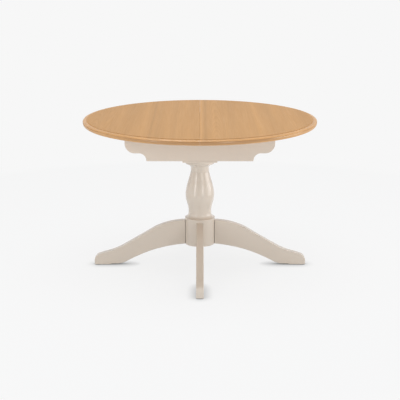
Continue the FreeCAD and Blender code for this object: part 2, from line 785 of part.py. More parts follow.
def build_aprons():
    """The two shaped boards, their tracks and the screws between them."""
    cove = S.apron_step - S.apron_nib
    corner_x = apron_half - S.apron_corner
    ledge = corner_x - S.apron_ledge
    foot = ledge - cove
    nib_x = foot - S.apron_nib
    nib_level = apron_bottom + S.apron_nib
    corner_level = apron_end_bottom + S.apron_corner
    bend_share = math.sqrt(0.5)
    nib_bend = S.apron_nib * bend_share
    cove_bend = cove * bend_share
    corner_bend = S.apron_corner * bend_share

    def lower_edge(side):
        """The shaped lower edge from the deep middle out to the upright end."""
        return [
            (nib_x * side, apron_bottom),
            ((nib_x + nib_bend) * side, nib_level - nib_bend),
            (foot * side, nib_level),
            ((ledge - cove_bend) * side, nib_level + cove_bend),
            (ledge * side, apron_end_bottom),
            (corner_x * side, apron_end_bottom),
            ((corner_x + corner_bend) * side, corner_level - corner_bend),
            (apron_half * side, corner_level),
        ]

    middle, nib, nib_end, in_cove, cove_end, flat_end, bend, upright = lower_edge(1)
    right_side = [middle, (nib, nib_end), (in_cove, cove_end), flat_end, (bend, upright)]
    right_side.append((apron_half, apron_top))
    middle, nib, nib_end, in_cove, cove_end, flat_end, bend, upright = lower_edge(-1)
    left_side = [(-apron_half, apron_top)]
    left_side += [upright, (bend, flat_end), cove_end, (in_cove, nib_end), (nib, middle)]
    screws = []
    for name, face in (("front", -1), ("back", 1)):
        y_high = frame_half if face > 0 else -inner_face
        steps = right_side + left_side
        board = padded("apron_" + name + "_board", "XZ_Plane", middle, steps, S.apron_thickness)
        show_face = -S.apron_thickness.number if face < 0 else 0

        def on_show_face(edge, level=show_face):
            bounds = edge.BoundBox
            flat = abs(bounds.YMin - level) + abs(bounds.YMax - level) < S.glue_gap.number
            return flat and bounds.ZMin < corner_level.number + S.overrun.number

        eased(board, S.apron_ease, on_show_face)
        board.setExpression("Placement.Base.y", y_high.text)
        board_holes = []
        track_holes = list(track_bridge_holes[face])
        outward = "back" if face > 0 else "front"
        track_middle = (track_top + track_bottom) / 2
        for share in track_screw_shares:
            head = (apron_half * 2 * share, (inner_face - S.track_width) * face, track_middle)
            screws.append(screw(head, outward, S.track_screw))
            track_holes += screw_hole(head, outward, S.track_screw)
            board_holes.append(pilot(head, outward, S.track_screw))
        for side in (-1, 1):
            board_holes.append(pilot(block_screw_head(side, face), outward, S.block_screw))
            board_holes.append(pilot(bearer_screw_head(side, face), "up", S.frame_screw))
        track = box(
            (-(apron_half - S.track_inset), apron_half - S.track_inset),
            (inner_face * face, (inner_face - S.track_width) * face),
            (track_bottom, track_top),
        )
        node("apron_" + name, cut(board, board_holes))
        node("track_" + name, cut(track, track_holes))
    node("track_screws", group(screws))


def block_screw_head(side, face):
    """Where the level screw of a glue block starts, on the block's inner side."""
    return (
        bearer_spread * side - S.block_size / 4,
        (inner_face - S.block_size) * face,
        leaf_bearer_bottom - S.block_height / 2,
    )


def bearer_screw_head(side, face):
    """Where a screw starts that holds the bearer's lip under an apron."""
    x = S.bearer_width * bearer_screw_share * side
    return (x, (frame_half - S.apron_thickness / 2) * face, bearer_bottom)


def build_frame():
    """Leaf bearers, guides, end board, glue blocks and the bearer on the column."""
    blocks = []
    screws = []
    bearer_holes = {-1: [], 1: []}
    for side in (-1, 1):
        middle = bearer_spread * side
        for face in (-1, 1):
            inside = (inner_face - S.block_size) * face
            outward = "back" if face > 0 else "front"
            block = box(
                (middle - S.block_size / 2, middle + S.block_size / 2),
                (inner_face * face, inside),
                (leaf_bearer_bottom - S.block_height, leaf_bearer_bottom),
            )
            level_head = block_screw_head(side, face)
            upright_head = (
                middle + S.block_size / 4,
                (inner_face - S.block_size / 2) * face,
                leaf_bearer_bottom - S.block_height,
            )
            screws.append(screw(level_head, outward, S.block_screw))
            screws.append(screw(upright_head, "up", S.block_screw))
            holes = screw_hole(level_head, outward, S.block_screw)
            holes += screw_hole(upright_head, "up", S.block_screw)
            blocks.append(cut(block, holes))
            bearer_holes[side].append(pilot(upright_head, "up", S.block_screw))
    end_top = runner_bottom - S.end_board_room
    end_bottom = end_top - S.end_board_depth
    for face in (-1, 1):
        blocks.append(box(
            (-end_board_place, -(end_board_place - S.block_size)),
            (inner_face * face, (inner_face - S.block_size) * face),
            (leaf_bearer_top, end_top),
        ))
    node("end_board", box(
        (-end_board_place, -(end_board_place + S.end_board_thickness)),
        (-inner_face, inner_face),
        (end_bottom, end_top),
    ))
    node("glue_blocks", group(blocks))
    node("block_screws", group(screws))
    guide_screws = build_guides(bearer_holes)
    for name, side in (("left", -1), ("right", 1)):
        middle = bearer_spread * side
        board = box(
            (middle - S.leaf_bearer_width / 2, middle + S.leaf_bearer_width / 2),
            (-inner_face, inner_face),
            (leaf_bearer_bottom, leaf_bearer_top),
        )
        node("leaf_bearer_" + name, cut(board, bearer_holes[side]))
    node("frame_screws", group(guide_screws + build_bearer()))


def build_guides(bearer_holes):
    """Strips that keep the folded leaf straight as it slides out. Returns their screws."""
    strips = []
    screws = []
    for face in (-1, 1):
        room = S.guide_room + (S.dowel_out if face > 0 else ZERO)
        near = (leaf_half_width + room) * face
        far = near + S.guide_width * face
        strip = box(
            (-(end_board_place - S.block_size - S.running_gap), leaf_half_length + S.guide_beyond),
            (near, far),
            (leaf_bearer_top, leaf_bearer_top + S.guide_height),
        )
        holes = []
        for side in (-1, 1):
            head = (bearer_spread * side, (near + far) / 2, leaf_bearer_top + S.guide_height)
            screws.append(screw(head, "down", S.frame_screw))
            holes += screw_hole(head, "down", S.frame_screw)
            bearer_holes[side].append(pilot(head, "down", S.frame_screw))
        strips.append(cut(strip, holes))
    node("leaf_guides", group(strips))
    return screws


def build_bearer():
    """The front-to-back bearer on the column, rebated so that its ends lap the aprons.

    Returns the screws that hold it to the aprons.
    """
    start = (-frame_half, bearer_bottom)
    steps = [
        (frame_half, bearer_bottom),
        (frame_half, apron_bottom),
        (inner_face, apron_bottom),
        (inner_face, bearer_top),
        (-inner_face, bearer_top),
        (-inner_face, apron_bottom),
        (-frame_half, apron_bottom),
        start,
    ]
    board = padded("bearer_board", "YZ_Plane", start, steps, S.bearer_width)
    board.setExpression("Placement.Base.x", (-S.bearer_width / 2).text)
    cutters = [cylinder(S.tie_radius + S.tie_play, S.bearer_thickness + S.overrun * 2,
                        (ZERO, ZERO, bearer_bottom - S.overrun))]
    cutters += post_dowels(bearer_bottom, S.glue_gap)
    screws = []
    for face in (-1, 1):
        for side in (-1, 1):
            head = bearer_screw_head(side, face)
            screws.append(screw(head, "up", S.frame_screw))
            cutters += screw_hole(head, "up", S.frame_screw)
    node("column_bearer", cut(board, cutters))
    return screws


def post_dowels(level, room):
    """Two dowels, or their holes, across the joint at a level."""
    return [
        cylinder(S.post_dowel_radius + room, S.post_dowel_in * 2 + room * 2,
                 (S.post_dowel_ring * side, ZERO, level - S.post_dowel_in - room))
        for side in (-1, 1)
    ]


def build_column():
    """The turned column, with a tenon below and holes for the dowels and the tie rod."""
    height = bearer_bottom - hub_top

    def at(share):
        return share_point(share, S.column_radius, height, ZERO, hub_top)

    tenon = hub_top - S.spigot_length
    steps = [
        (S.spigot_radius, tenon),
        (S.spigot_radius, hub_top),
        (S.hub_radius, hub_top),
        (at(flare_middle_share), at(waist_foot_share)),
        at(waist_top_share),
        (at(waist_sweep_share), at(vase_foot_share)),
        (at(vase_lower_share), at(vase_belly_share)),
        (at(vase_full_share), at(vase_upper_share)),
        (at(vase_shoulder_share), at(neck_foot_share)),
        at(neck_top_share),
        (at(cove_middle_share), at(collar_foot_share)),
        (S.column_radius, bearer_bottom),
        (ZERO, bearer_bottom),
        (ZERO, tenon),
    ]
    body = turned("column_turning", (ZERO, tenon), steps)
    bore = cylinder(S.tie_radius + S.tie_play, bearer_bottom - tenon + S.overrun * 2,
                    (ZERO, ZERO, tenon - S.overrun))
    node("column", cut(body, [bore] + post_dowels(bearer_bottom, S.glue_gap)))
    node("column_dowels", group(post_dowels(bearer_bottom, ZERO)))


def build_hub():
    """The hub with its leg seats and pocket, and the round cover that closes it."""
    blank = cylinder(S.hub_radius, S.hub_height, (ZERO, ZERO, S.hub_clearance))
    half = S.hub_cavity / 2
    tie_bore = S.tie_radius + S.tie_play
    cutters = [
        box((-half, half), (-half, half), (S.hub_clearance - S.overrun, hub_ceiling)),
        cylinder(S.cover_radius + S.cover_room, S.cover_thickness + S.overrun,
                 (ZERO, ZERO, S.hub_clearance - S.overrun)),
        cylinder(S.spigot_radius + S.glue_gap, S.spigot_length + S.glue_gap,
                 (ZERO, ZERO, hub_top), "down"),
        cylinder(tie_bore, S.hub_roof + S.overrun * 2, (ZERO, ZERO, hub_ceiling - S.overrun)),
    ]
    seat_half = S.leg_thickness / 2
    seat_bottom = S.leg_rise - S.leg_seat
    outside = S.hub_radius + S.overrun
    cover_screws = []
    cover_holes = []
    for direction in ("right", "back", "left", "front"):
        step_x, step_y, _ = STEPS[direction]
        across_x = abs(step_y)
        across_y = abs(step_x)
        cutters.append(box(
            (hub_seat * step_x - seat_half * across_x, outside * step_x + seat_half * across_x),
            (hub_seat * step_y - seat_half * across_y, outside * step_y + seat_half * across_y),
            (seat_bottom - S.running_gap, S.leg_rise + S.running_gap),
        ))
        for level in bolt_levels():
            start = along((ZERO, ZERO, level), direction, half - S.overrun)
            cutters.append(cylinder(S.bolt_radius + S.bolt_play, S.hub_radius, start, direction))
        head = along((ZERO, ZERO, S.hub_clearance), direction, S.cover_screw_ring)
        cover_screws.append(screw(head, "up", S.hardware_screw, small=True))
        cover_holes += screw_hole(head, "up", S.hardware_screw, small=True)
        cutters.append(pilot(head, "up", S.hardware_screw, small=True))
    node("hub", cut(blank, cutters))
    cover = cylinder(S.cover_radius, S.cover_thickness, (ZERO, ZERO, S.hub_clearance))
    node("hub_cover", cut(cover, cover_holes))
    node("cover_screws", group(cover_screws))


def bolt_levels():
    """Heights of the two bolts that hold a leg."""
    middle = S.leg_rise - S.leg_seat / 2
    return (middle - S.bolt_spread / 2, middle + S.bolt_spread / 2)


def build_tie():
    """The threaded rod that pulls bearer, column and hub together, with its ends."""
    low_washer = hub_ceiling - S.tie_washer_thickness
    low_nut = low_washer - S.tie_nut_height
    high_nut = bearer_top + S.tie_washer_thickness
    start = low_nut - S.tie_end
    end = high_nut + S.tie_nut_height + S.tie_end
    node("tie_rod", cylinder(S.tie_radius, end - start, (ZERO, ZERO, start)))
    bore = S.tie_radius + S.glue_gap
    nuts = []
    washers = []
    for nut, washer in ((low_nut, low_washer), (high_nut, bearer_top)):
        nut_hole = cylinder(bore, S.tie_nut_height + S.overrun * 2, (ZERO, ZERO, nut - S.overrun))
        nuts.append(cut(hexagon(S.tie_nut, S.tie_nut_height, (ZERO, ZERO, nut)), [nut_hole]))
        thickness = S.tie_washer_thickness
        disc = cylinder(S.tie_washer, thickness, (ZERO, ZERO, washer))
        washer_hole = cylinder(bore, thickness + S.overrun * 2, (ZERO, ZERO, washer - S.overrun))
        washers.append(cut(disc, [washer_hole]))
    node("tie_nuts", group(nuts))
    node("tie_washers", group(washers))


def leg_body(name):
    """A curved leg, drawn to the right of the hub."""
    reach = S.foot_radius - hub_seat
    rise = S.leg_rise

    def at(share):
        return share_point(share, reach, rise, hub_seat, ZERO)

    seat_bottom = S.leg_rise - S.leg_seat
    start = (hub_seat, seat_bottom)
    pad_back = hub_seat + reach * pad_back_share
    steps = [
        (hub_seat, S.leg_rise),
        (at(back_middle_share), at(back_end_share)),
        (at(slope_middle_share), at(slope_end_share)),
        (at(instep_middle_share), at(instep_end_share)),
        at(toe_start_share),
        (at(toe_nose_share), at(toe_front_share)),
        (S.foot_radius, S.glide_thickness),
        (pad_back, S.glide_thickness),
        at(sole_start_share),
        at(sole_end_share),
        (at(arch_low_share), at(arch_end_share)),
        (at(arch_middle_share), at(arch_start_share)),
        (at(thigh_middle_share), start),
    ]
    body = padded(name + "_board", "XZ_Plane", start, steps, S.leg_thickness, midplane=True)
    side = S.leg_thickness.number / 2
    floor_level = S.glide_thickness.number + S.glue_gap.number

    def long_edge(edge):
        bounds = edge.BoundBox
        on_side = abs(abs(bounds.YMin) - side) + abs(bounds.YMax - bounds.YMin) < S.glue_gap.number
        at_seat = bounds.XMax < hub_seat.number + S.glue_gap.number
        return on_side and not at_seat and bounds.ZMax > floor_level

    eased(body, S.leg_ease, long_edge)
    return body


def build_legs():
    """Four legs with their bolts, nuts and washers, and the glides under the toes."""
    bolts = []
    nuts = []
    washers = []
    glides = []
    quarter_turns = (("leg_right", "right", 0), ("leg_back", "back", 90),
                     ("leg_left", "left", 180), ("leg_front", "front", 270))
    glide_place = S.foot_radius - S.glide_inset
    hub_wall = S.hub_cavity / 2
    for name, direction, angle in quarter_turns:
        holes = [
            cylinder(S.bolt_radius + S.glue_gap, S.bolt_in + S.glue_gap, (hub_seat, ZERO, level), "right")
            for level in bolt_levels()
        ]
        holes.append(cylinder(S.glide_pin_radius + S.glue_gap, S.glide_pin_length + S.glue_gap,
                              (glide_place, ZERO, S.glide_thickness)))
        leg = node(name, cut(leg_body(name), holes))
        leg.Placement = FreeCAD.Placement(FreeCAD.Vector(), FreeCAD.Rotation(FreeCAD.Vector(0, 0, 1), angle))
        spot = along((ZERO, ZERO, ZERO), direction, glide_place)
        glides.append(joined([
            cylinder(S.glide_radius, S.glide_thickness, spot),
            cylinder(S.glide_pin_radius, S.glide_pin_length + S.glide_thickness, spot),
        ]))
        for level in bolt_levels():
            washer_start = hub_wall - S.bolt_washer_thickness
            nut_start = washer_start - S.bolt_nut_height
            bolt_start = nut_start - S.bolt_end
            centre = (ZERO, ZERO, level)
            bore = S.bolt_radius + S.glue_gap
            bolts.append(cylinder(S.bolt_radius, hub_seat + S.bolt_in - bolt_start,
                                  along(centre, direction, bolt_start), direction))
            nut = hexagon(S.bolt_nut, S.bolt_nut_height, along(centre, direction, nut_start), direction)
            washer = cylinder(S.bolt_washer, S.bolt_washer_thickness,
                              along(centre, direction, washer_start), direction)
            for kept, blank in ((nuts, nut), (washers, washer)):
                hole = cylinder(bore, hub_wall, along(centre, direction, bolt_start), direction)
                kept.append(cut(blank, [hole]))
    node("leg_bolts", group(bolts))
    node("leg_nuts", group(nuts))
    node("leg_washers", group(washers))
    node("toe_glides", group(glides))


def build_locks():
    """Two seam locks: plate and lever on the left half, keeper on the right one."""
    plates = []
    keepers = []
    plate_screws = []
    keeper_screws = []
    holes = {-1: [], 1: []}
    plate_bottom = underside - S.lock_plate_thickness
    lever_top = plate_bottom - S.running_gap
    lever_bottom = lever_top - S.lever_thickness
    stud_bottom = lever_bottom - S.running_gap
    half_width = S.lock_plate_width / 2
    half_length = S.lock_plate_length / 2
    for name, face in (("front", -1), ("back", 1)):
        y = lock_place * face
        for side, x, kept, screws in (
            (-1, -S.lock_pivot, plates, plate_screws),
            (1, S.lock_swing - S.lock_pivot, keepers, keeper_screws),
        ):
            plate = joined([
                box((x - half_width, x + half_width), (y - half_length, y + half_length),
                    (plate_bottom, underside)),
                cylinder(S.stud_radius, underside - stud_bottom, (x, y, stud_bottom)),
                cylinder(S.stud_head, S.stud_head_height, (x, y, stud_bottom), "down"),
            ])
            plate_holes = []
            for end in (-1, 1):
                head = (x, y + (half_length - S.small_head * 2) * end, plate_bottom)
                screws.append(screw(head, "up", S.hardware_screw, small=True))
                plate_holes += screw_hole(head, "up", S.hardware_screw, small=True)
                holes[side].append(pilot(head, "up", S.hardware_screw, small=True))
            kept.append(cut(plate, plate_holes))
        lock_lever("lock_lever_" + name, face, lever_bottom)
    node("lock_plates", group(plates))
    node("lock_screws", group(plate_screws))
    node("keeper_plates", group(keepers))
    node("keeper_screws", group(keeper_screws))
    return holes


def lock_lever(name, face, level):
    """A lever whose hook swings round the keeper's stud.

    It is drawn locked, with its pivot at its own origin and its hook towards +X, and
    placed swung back by a right angle, which is released.
    """
    eye = S.lever_eye
    radius = S.lock_swing
    slot = S.stud_radius + S.running_gap
    hook_out = radius + slot * 2
    half_arm = S.lever_width / 2
    tall = (ZERO, S.lever_thickness)
    form = joined([
        cylinder(eye, S.lever_thickness, (ZERO, ZERO, ZERO)),
        box((-(S.lever_handle - half_arm), radius), (-half_arm, half_arm), tall),
        cylinder(half_arm, S.lever_thickness, (-(S.lever_handle - half_arm), ZERO, ZERO)),
        box((radius - eye, hook_out), (-eye, eye), tall),
    ])
    ring = cut(
        cylinder(radius + slot, S.lever_thickness * 3, (ZERO, ZERO, -S.lever_thickness)),
        [cylinder(radius - slot, S.lever_thickness * 5, (ZERO, ZERO, -S.lever_thickness * 2))],
    )
    mouth = doc.addObject("Part::Common", "mouth")
    mouth.Base = ring
    mouth.Tool = box((radius - eye * 2, hook_out + S.overrun), (ZERO, eye * 2 * -face),
                     (-S.lever_thickness, S.lever_thickness * 2))
    lever = node(name, cut(form, [
        mouth,
        cylinder(slot, S.lever_thickness * 3, (radius, ZERO, -S.lever_thickness)),
        cylinder(S.stud_radius + S.stud_play, S.lever_thickness * 3, (ZERO, ZERO, -S.lever_thickness)),
    ]))
    lever.Placement = FreeCAD.Placement(
        FreeCAD.Vector(), FreeCAD.Rotation(FreeCAD.Vector(0, 0, 1), 90 * face))
    lever.setExpression("Placement.Base.x", (-S.lock_pivot).text)
    lever.setExpression("Placement.Base.y", (lock_place * face).text)
    lever.setExpression("Placement.Base.z", level.text)


def build_leaf():
    """The folded leaf: two wings, their hinges and the dowels along one edge."""
    fold = -leaf_half_length
    rim = leaf_half_length
    dowel_level_up = leaf_top - S.top_thickness / 2
    dowel_level_down = leaf_bottom + S.top_thickness / 2
    dowels = []
    hinge_holes, hinge_pockets = build_leaf_hinges(fold)
    for name, flip, show, back, level in (
        ("leaf_wing_upper", 1, leaf_top, leaf_top - S.top_thickness, dowel_level_up),
        ("leaf_wing_lower", -1, leaf_bottom, leaf_bottom + S.top_thickness, dowel_level_down),
    ):
        start = (fold, back)
        steps = moulding(rim, show, S.top_thickness, flip) + [(fold, show), start]
        board = padded(name + "_board", "XZ_Plane", start, steps, S.leaf_width, midplane=True)
        cutters = hinge_pockets[flip] + hinge_holes[flip]
        for share in seam_dowel_shares:
            if share < 0:
                continue
            x = fold + top_radius * share
            root = (x, leaf_half_width - S.dowel_in, level)
            dowels.append(cylinder(S.dowel_radius, S.dowel_in + S.dowel_out, root, "back"))
            cutters.append(cylinder(S.dowel_radius + S.glue_gap, S.dowel_in + S.overrun, root, "back"))
            cutters.append(cylinder(S.dowel_radius + S.dowel_play, S.dowel_out + S.dowel_play * 5,
                                    (x, -leaf_half_width, level), "back"))
        node(name, cut(board, cutters))
    node("leaf_dowels", group(dowels))


def build_leaf_hinges(fold):
    """Butt hinges let into both wings at the fold.

    Returns the screw holes and the pockets that they need, by wing.
    """
    axis_x = fold - S.hinge_barrel - S.running_gap
    plates = {1: [], -1: []}
    holes = {1: [], -1: []}
    pockets = {1: [], -1: []}
    pins = []
    screws = []
    bore = S.hinge_pin + S.hinge_pin_play
    for side in (-1, 1):
        start = S.hinge_spread * side - S.hinge_length / 2
        end = start + S.hinge_length
        low = start + S.hinge_length * knuckle_shares[0]
        high = start + S.hinge_length * knuckle_shares[1]
        pins.append(cylinder(S.hinge_pin, S.hinge_length, (axis_x, start, fold_level), "back"))
        pin_start = (axis_x, start - S.overrun, fold_level)
        pin_hole = cylinder(bore, S.hinge_length + S.overrun * 2, pin_start, "back")
        for wing in (1, -1):
            near = fold_level + S.leaf_fold_gap / 2 * wing
            far = near + S.hinge_plate * wing
            reach = fold + S.hinge_plate_reach
            barrel_span = (axis_x - S.hinge_barrel * 2, fold - S.glue_gap)
            thick_span = (near - S.overrun, far + S.overrun)
            if wing > 0:
                spans = ((start, low), (high, end))
                notches = ((low - S.running_gap, high + S.running_gap),)
            else:
                spans = ((low, high),)
                notches = (
                    (start - S.overrun, low + S.running_gap),
                    (high - S.running_gap, end + S.overrun),
                )
            waste = [box(barrel_span, notch, thick_span) for notch in notches]
            flat = cut(box((axis_x, reach), (start, end), (near, far)), waste)
            room = S.running_gap / 2 if wing > 0 else S.running_gap
            knuckles = []
            for first, second in spans:
                first_room = ZERO if first is start else room
                second_room = ZERO if second is end else room
                knuckles.append(cylinder(S.hinge_barrel, second - first - first_room - second_room,
                                         (axis_x, first + first_room, fold_level), "back"))
            whole = joined([flat] + knuckles)
            plate_holes = [pin_hole]
            for end_side in (-1, 1):
                y = S.hinge_spread * side + S.hinge_length * hinge_screw_share * end_side
                head = (fold + S.hinge_plate_reach / 2, y, near)
                direction = "up" if wing > 0 else "down"
                screws.append(screw(head, direction, S.hardware_screw, small=True))
                plate_holes += screw_hole(head, direction, S.hardware_screw, small=True)
                holes[wing].append(pilot(head, direction, S.hardware_screw, small=True))
            plates[wing].append(cut(whole, plate_holes))
            pockets[wing].append(box((fold - S.overrun, reach + S.glue_gap),
                                     (start - S.glue_gap, end + S.glue_gap),
                                     (near - S.overrun * wing, far)))
    node("hinge_plates_upper", group(plates[1]))
    node("hinge_plates_lower", group(plates[-1]))
    node("hinge_pins", group(pins))
    node("hinge_screws", group(screws))
    return holes, pockets


def build_top(rack_holes, lock_holes):
    """Both half tops with their runners, screws and seam dowels."""
    top_holes = {-1: rack_holes[-1] + lock_holes[-1], 1: rack_holes[1] + lock_holes[1]}
    for name, side in (("left", -1), ("right", 1)):
        screws = []
        for face_name, face in (("front", -1), ("back", 1)):
            more_screws, more_holes = runner(f"runner_{name}_{face_name}", side, face)
            screws += more_screws
            top_holes[side] += more_holes
        node("runner_screws_" + name, group(screws))
    seam = S.seam_gap / 2
    middle = S.table_height - S.top_thickness / 2
    top_half("top_half_left", -1, S.glue_gap, S.dowel_in + S.glue_gap, top_holes[-1])
    top_half("top_half_right", 1, S.dowel_play, S.dowel_out + S.dowel_play * 5, top_holes[1])
    dowel_start = -(S.dowel_in + seam)
    node("seam_dowels", group([
        cylinder(S.dowel_radius, S.dowel_in + S.dowel_out, (dowel_start, top_radius * share, middle), "right")
        for share in seam_dowel_shares
    ]))


track_bridge_holes, left_rack_holes, right_rack_holes = build_equaliser()
build_top({-1: left_rack_holes, 1: right_rack_holes}, build_locks())
build_aprons()
build_frame()
build_column()
build_hub()
build_tie()
build_legs()
build_leaf()
doc.recompute()

for item in doc.Objects:
    if "Invalid" in item.State or "Error" in item.State:
        raise RuntimeError(f"{item.Name} ({item.Label}) failed: {item.State}")
for name, item in nodes.items():
    if item.Shape.isNull() or not item.Shape.isValid() or not item.Shape.Solids:
        raise RuntimeError(f"{name} has no valid solid")
for name, item in nodes.items():
    item.Shape.exportStep(f"parts/{name}.step")
print(len(nodes), "nodes,", sum(len(item.Shape.Solids) for item in nodes.values()), "solids")
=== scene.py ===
"""Finishes, fixings, light and camera for a round extending table on a turned pedestal.

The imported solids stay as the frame. Screws, nuts, dowels, glides and stamped metal are
modelled again with the detail that plain solids lack, and each surface gets a finish built
from nodes. Lengths are in metres, +Z is up, the front looks towards -Y and the seam of the
top runs along Y.
"""

import json
import logging
import math
from collections.abc import Callable
from dataclasses import dataclass
from enum import Enum
from typing import Any, NamedTuple

import bpy
from mathutils import Matrix, Vector

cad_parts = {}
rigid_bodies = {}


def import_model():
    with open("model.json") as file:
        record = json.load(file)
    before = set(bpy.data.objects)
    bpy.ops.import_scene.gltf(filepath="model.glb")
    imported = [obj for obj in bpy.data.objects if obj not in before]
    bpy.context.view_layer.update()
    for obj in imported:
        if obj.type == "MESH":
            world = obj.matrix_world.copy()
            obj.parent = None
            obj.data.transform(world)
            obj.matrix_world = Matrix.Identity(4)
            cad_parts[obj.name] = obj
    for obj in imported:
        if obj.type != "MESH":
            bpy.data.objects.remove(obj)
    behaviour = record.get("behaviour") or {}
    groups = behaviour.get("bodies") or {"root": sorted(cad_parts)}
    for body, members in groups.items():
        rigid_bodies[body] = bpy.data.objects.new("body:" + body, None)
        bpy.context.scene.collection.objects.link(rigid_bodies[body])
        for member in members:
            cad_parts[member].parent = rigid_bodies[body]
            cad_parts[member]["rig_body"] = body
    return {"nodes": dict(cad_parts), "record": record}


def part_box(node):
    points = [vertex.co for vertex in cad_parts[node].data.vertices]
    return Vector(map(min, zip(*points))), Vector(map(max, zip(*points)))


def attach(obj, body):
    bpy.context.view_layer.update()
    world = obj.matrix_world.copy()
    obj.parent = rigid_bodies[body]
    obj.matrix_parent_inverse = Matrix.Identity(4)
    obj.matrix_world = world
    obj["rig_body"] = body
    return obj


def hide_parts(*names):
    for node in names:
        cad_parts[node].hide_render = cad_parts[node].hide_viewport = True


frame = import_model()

LOG = logging.getLogger("table")
MM = 0.001
# Edges that turn by more than this are bevelled, and stay crisp in the shading.
SHARP = math.radians(35)
Colour = tuple[float, float, float]
Item = bpy.types.Object
Material = bpy.types.Material
Node = bpy.types.Node
Socket = bpy.types.NodeSocket
Names = tuple[str, ...]


def srgb(red: int, green: int, blue: int) -> Colour:
    """Turn a display colour of 0 to 255 into linear values."""
    def linear(level: float) -> float:
        """Undo the display curve for one channel."""
        return level / 12.92 if level <= 0.04045 else ((level + 0.055) / 1.055) ** 2.4

    return tuple(linear(level / 255) for level in (red, green, blue))


class Grain(Enum):
    """The way that the grain or the brush ran, as the turn that brings it onto Y."""

    ALONG_X = (0.0, 0.0, math.pi / 2)
    ALONG_Y = (0.0, 0.0, 0.0)
    ALONG_Z = (-math.pi / 2, 0.0, 0.0)

    @property
    def axis(self) -> int:
        """The number of the coordinate that the grain runs along."""
        return "XYZ".index(self.name[-1])


def worked(operation: str, turned: bool = False) -> Callable[..., "Value"]:
    """Make a method that works on a value with one operation of the Math node.

    Args:
        operation: The node's name for it.
        turned: Whether the value comes second, after a plain number.

    Returns:
        The method.
    """
    def method(value: "Value", *others: Any) -> "Value":
        """Add the node that does it."""
        numbers = (value, *others)
        return value.graph.math(operation, *(reversed(numbers) if turned else numbers))

    return method


class Value:
    """A number that may vary over a surface, with the arithmetic of plain numbers."""

    __add__ = worked("ADD")
    __sub__ = worked("SUBTRACT")
    __rsub__ = worked("SUBTRACT", turned=True)
    __mul__ = worked("MULTIPLY")
    __truediv__ = worked("DIVIDE")
    __pow__ = worked("POWER")
    __abs__ = worked("ABSOLUTE")
    floor = worked("FLOOR")
    fraction = worked("FRACT")
    root = worked("SQRT")
    or_more = worked("MAXIMUM")
    or_less = worked("MINIMUM")
    over = worked("GREATER_THAN")
    under = worked("LESS_THAN")

    def __init__(self, graph: "Graph", socket: Socket) -> None:
        """Keep the output that gives the number."""
        self.graph = graph
        self.socket = socket


class Noise(NamedTuple):
    """A soft noise, by how many features a metre holds and how many finer layers it has."""

    across: float
    along: float
    detail: float = 2.0


class Graph:
    """A node tree, with short ways to add and link its nodes."""

    def __init__(self, tree: bpy.types.NodeTree) -> None:
        """Start from an empty tree."""
        self.tree = tree
        self.tree.nodes.clear()

    def add(self, kind: str, inputs: dict[int | str, Any] | None = None, **settings: Any) -> Node:
        """Add a node.

        Args:
            kind: Its type, without the words that all of them start with.
            inputs: What feeds its inputs, each a value, an output or a plain value.
            settings: Its properties.

        Returns:
            The node.
        """
        node = self.tree.nodes.new(f"ShaderNode{kind}")
        for name, setting in settings.items():
            setattr(node, name, setting)
        for slot, source in (inputs or {}).items():
            self.link(source, node.inputs[slot])
        return node

    def link(self, source: Any, target: Socket) -> None:
        """Feed an input from an output, or set it where the source is a plain value."""
        if isinstance(source, Value):
            source = source.socket
        if isinstance(source, Socket):
            self.tree.links.new(source, target)
        else:
            target.default_value = (*source, 1.0) if target.type == "RGBA" else source

    def math(self, operation: str, *numbers: Any) -> Value:
        """Work on one, two or three numbers, each a value or a plain number."""
        node = self.add("Math", dict(enumerate(numbers)), operation=operation)
        return Value(self, node.outputs[0])

    def coordinates(self, kind: str = "Object") -> Socket:
        """Give one of Blender's sets of coordinates."""
        return self.add("TexCoord").outputs[kind]

    def split(self, vector: Socket) -> tuple[Value, ...]:
        """Give the three coordinates of a vector."""
        return tuple(Value(self, output) for output in self.add("SeparateXYZ", {0: vector}).outputs)

    def looked_at(self) -> Value:
        """Give 1 to the camera's rays, straight, in gloss or through glass, and 0 to light."""
        rays = self.add("LightPath").outputs
        straight = Value(self, rays["Is Camera Ray"])
        return straight.or_more(rays["Is Glossy Ray"]).or_more(rays["Is Transmission Ray"])

    def mix(self, share: Value, first: Node, second: Node, output: Node) -> None:
        """Send a mix of two shaders to an output.

        Args:
            share: 0 gives the first shader and 1 the second.
            first: A shader.
            second: A shader.
            output: The output node.
        """
        mixed = self.add("MixShader", {0: share, 1: first.outputs[0], 2: second.outputs[0]})
        self.link(mixed.outputs[0], output.inputs["Surface"])


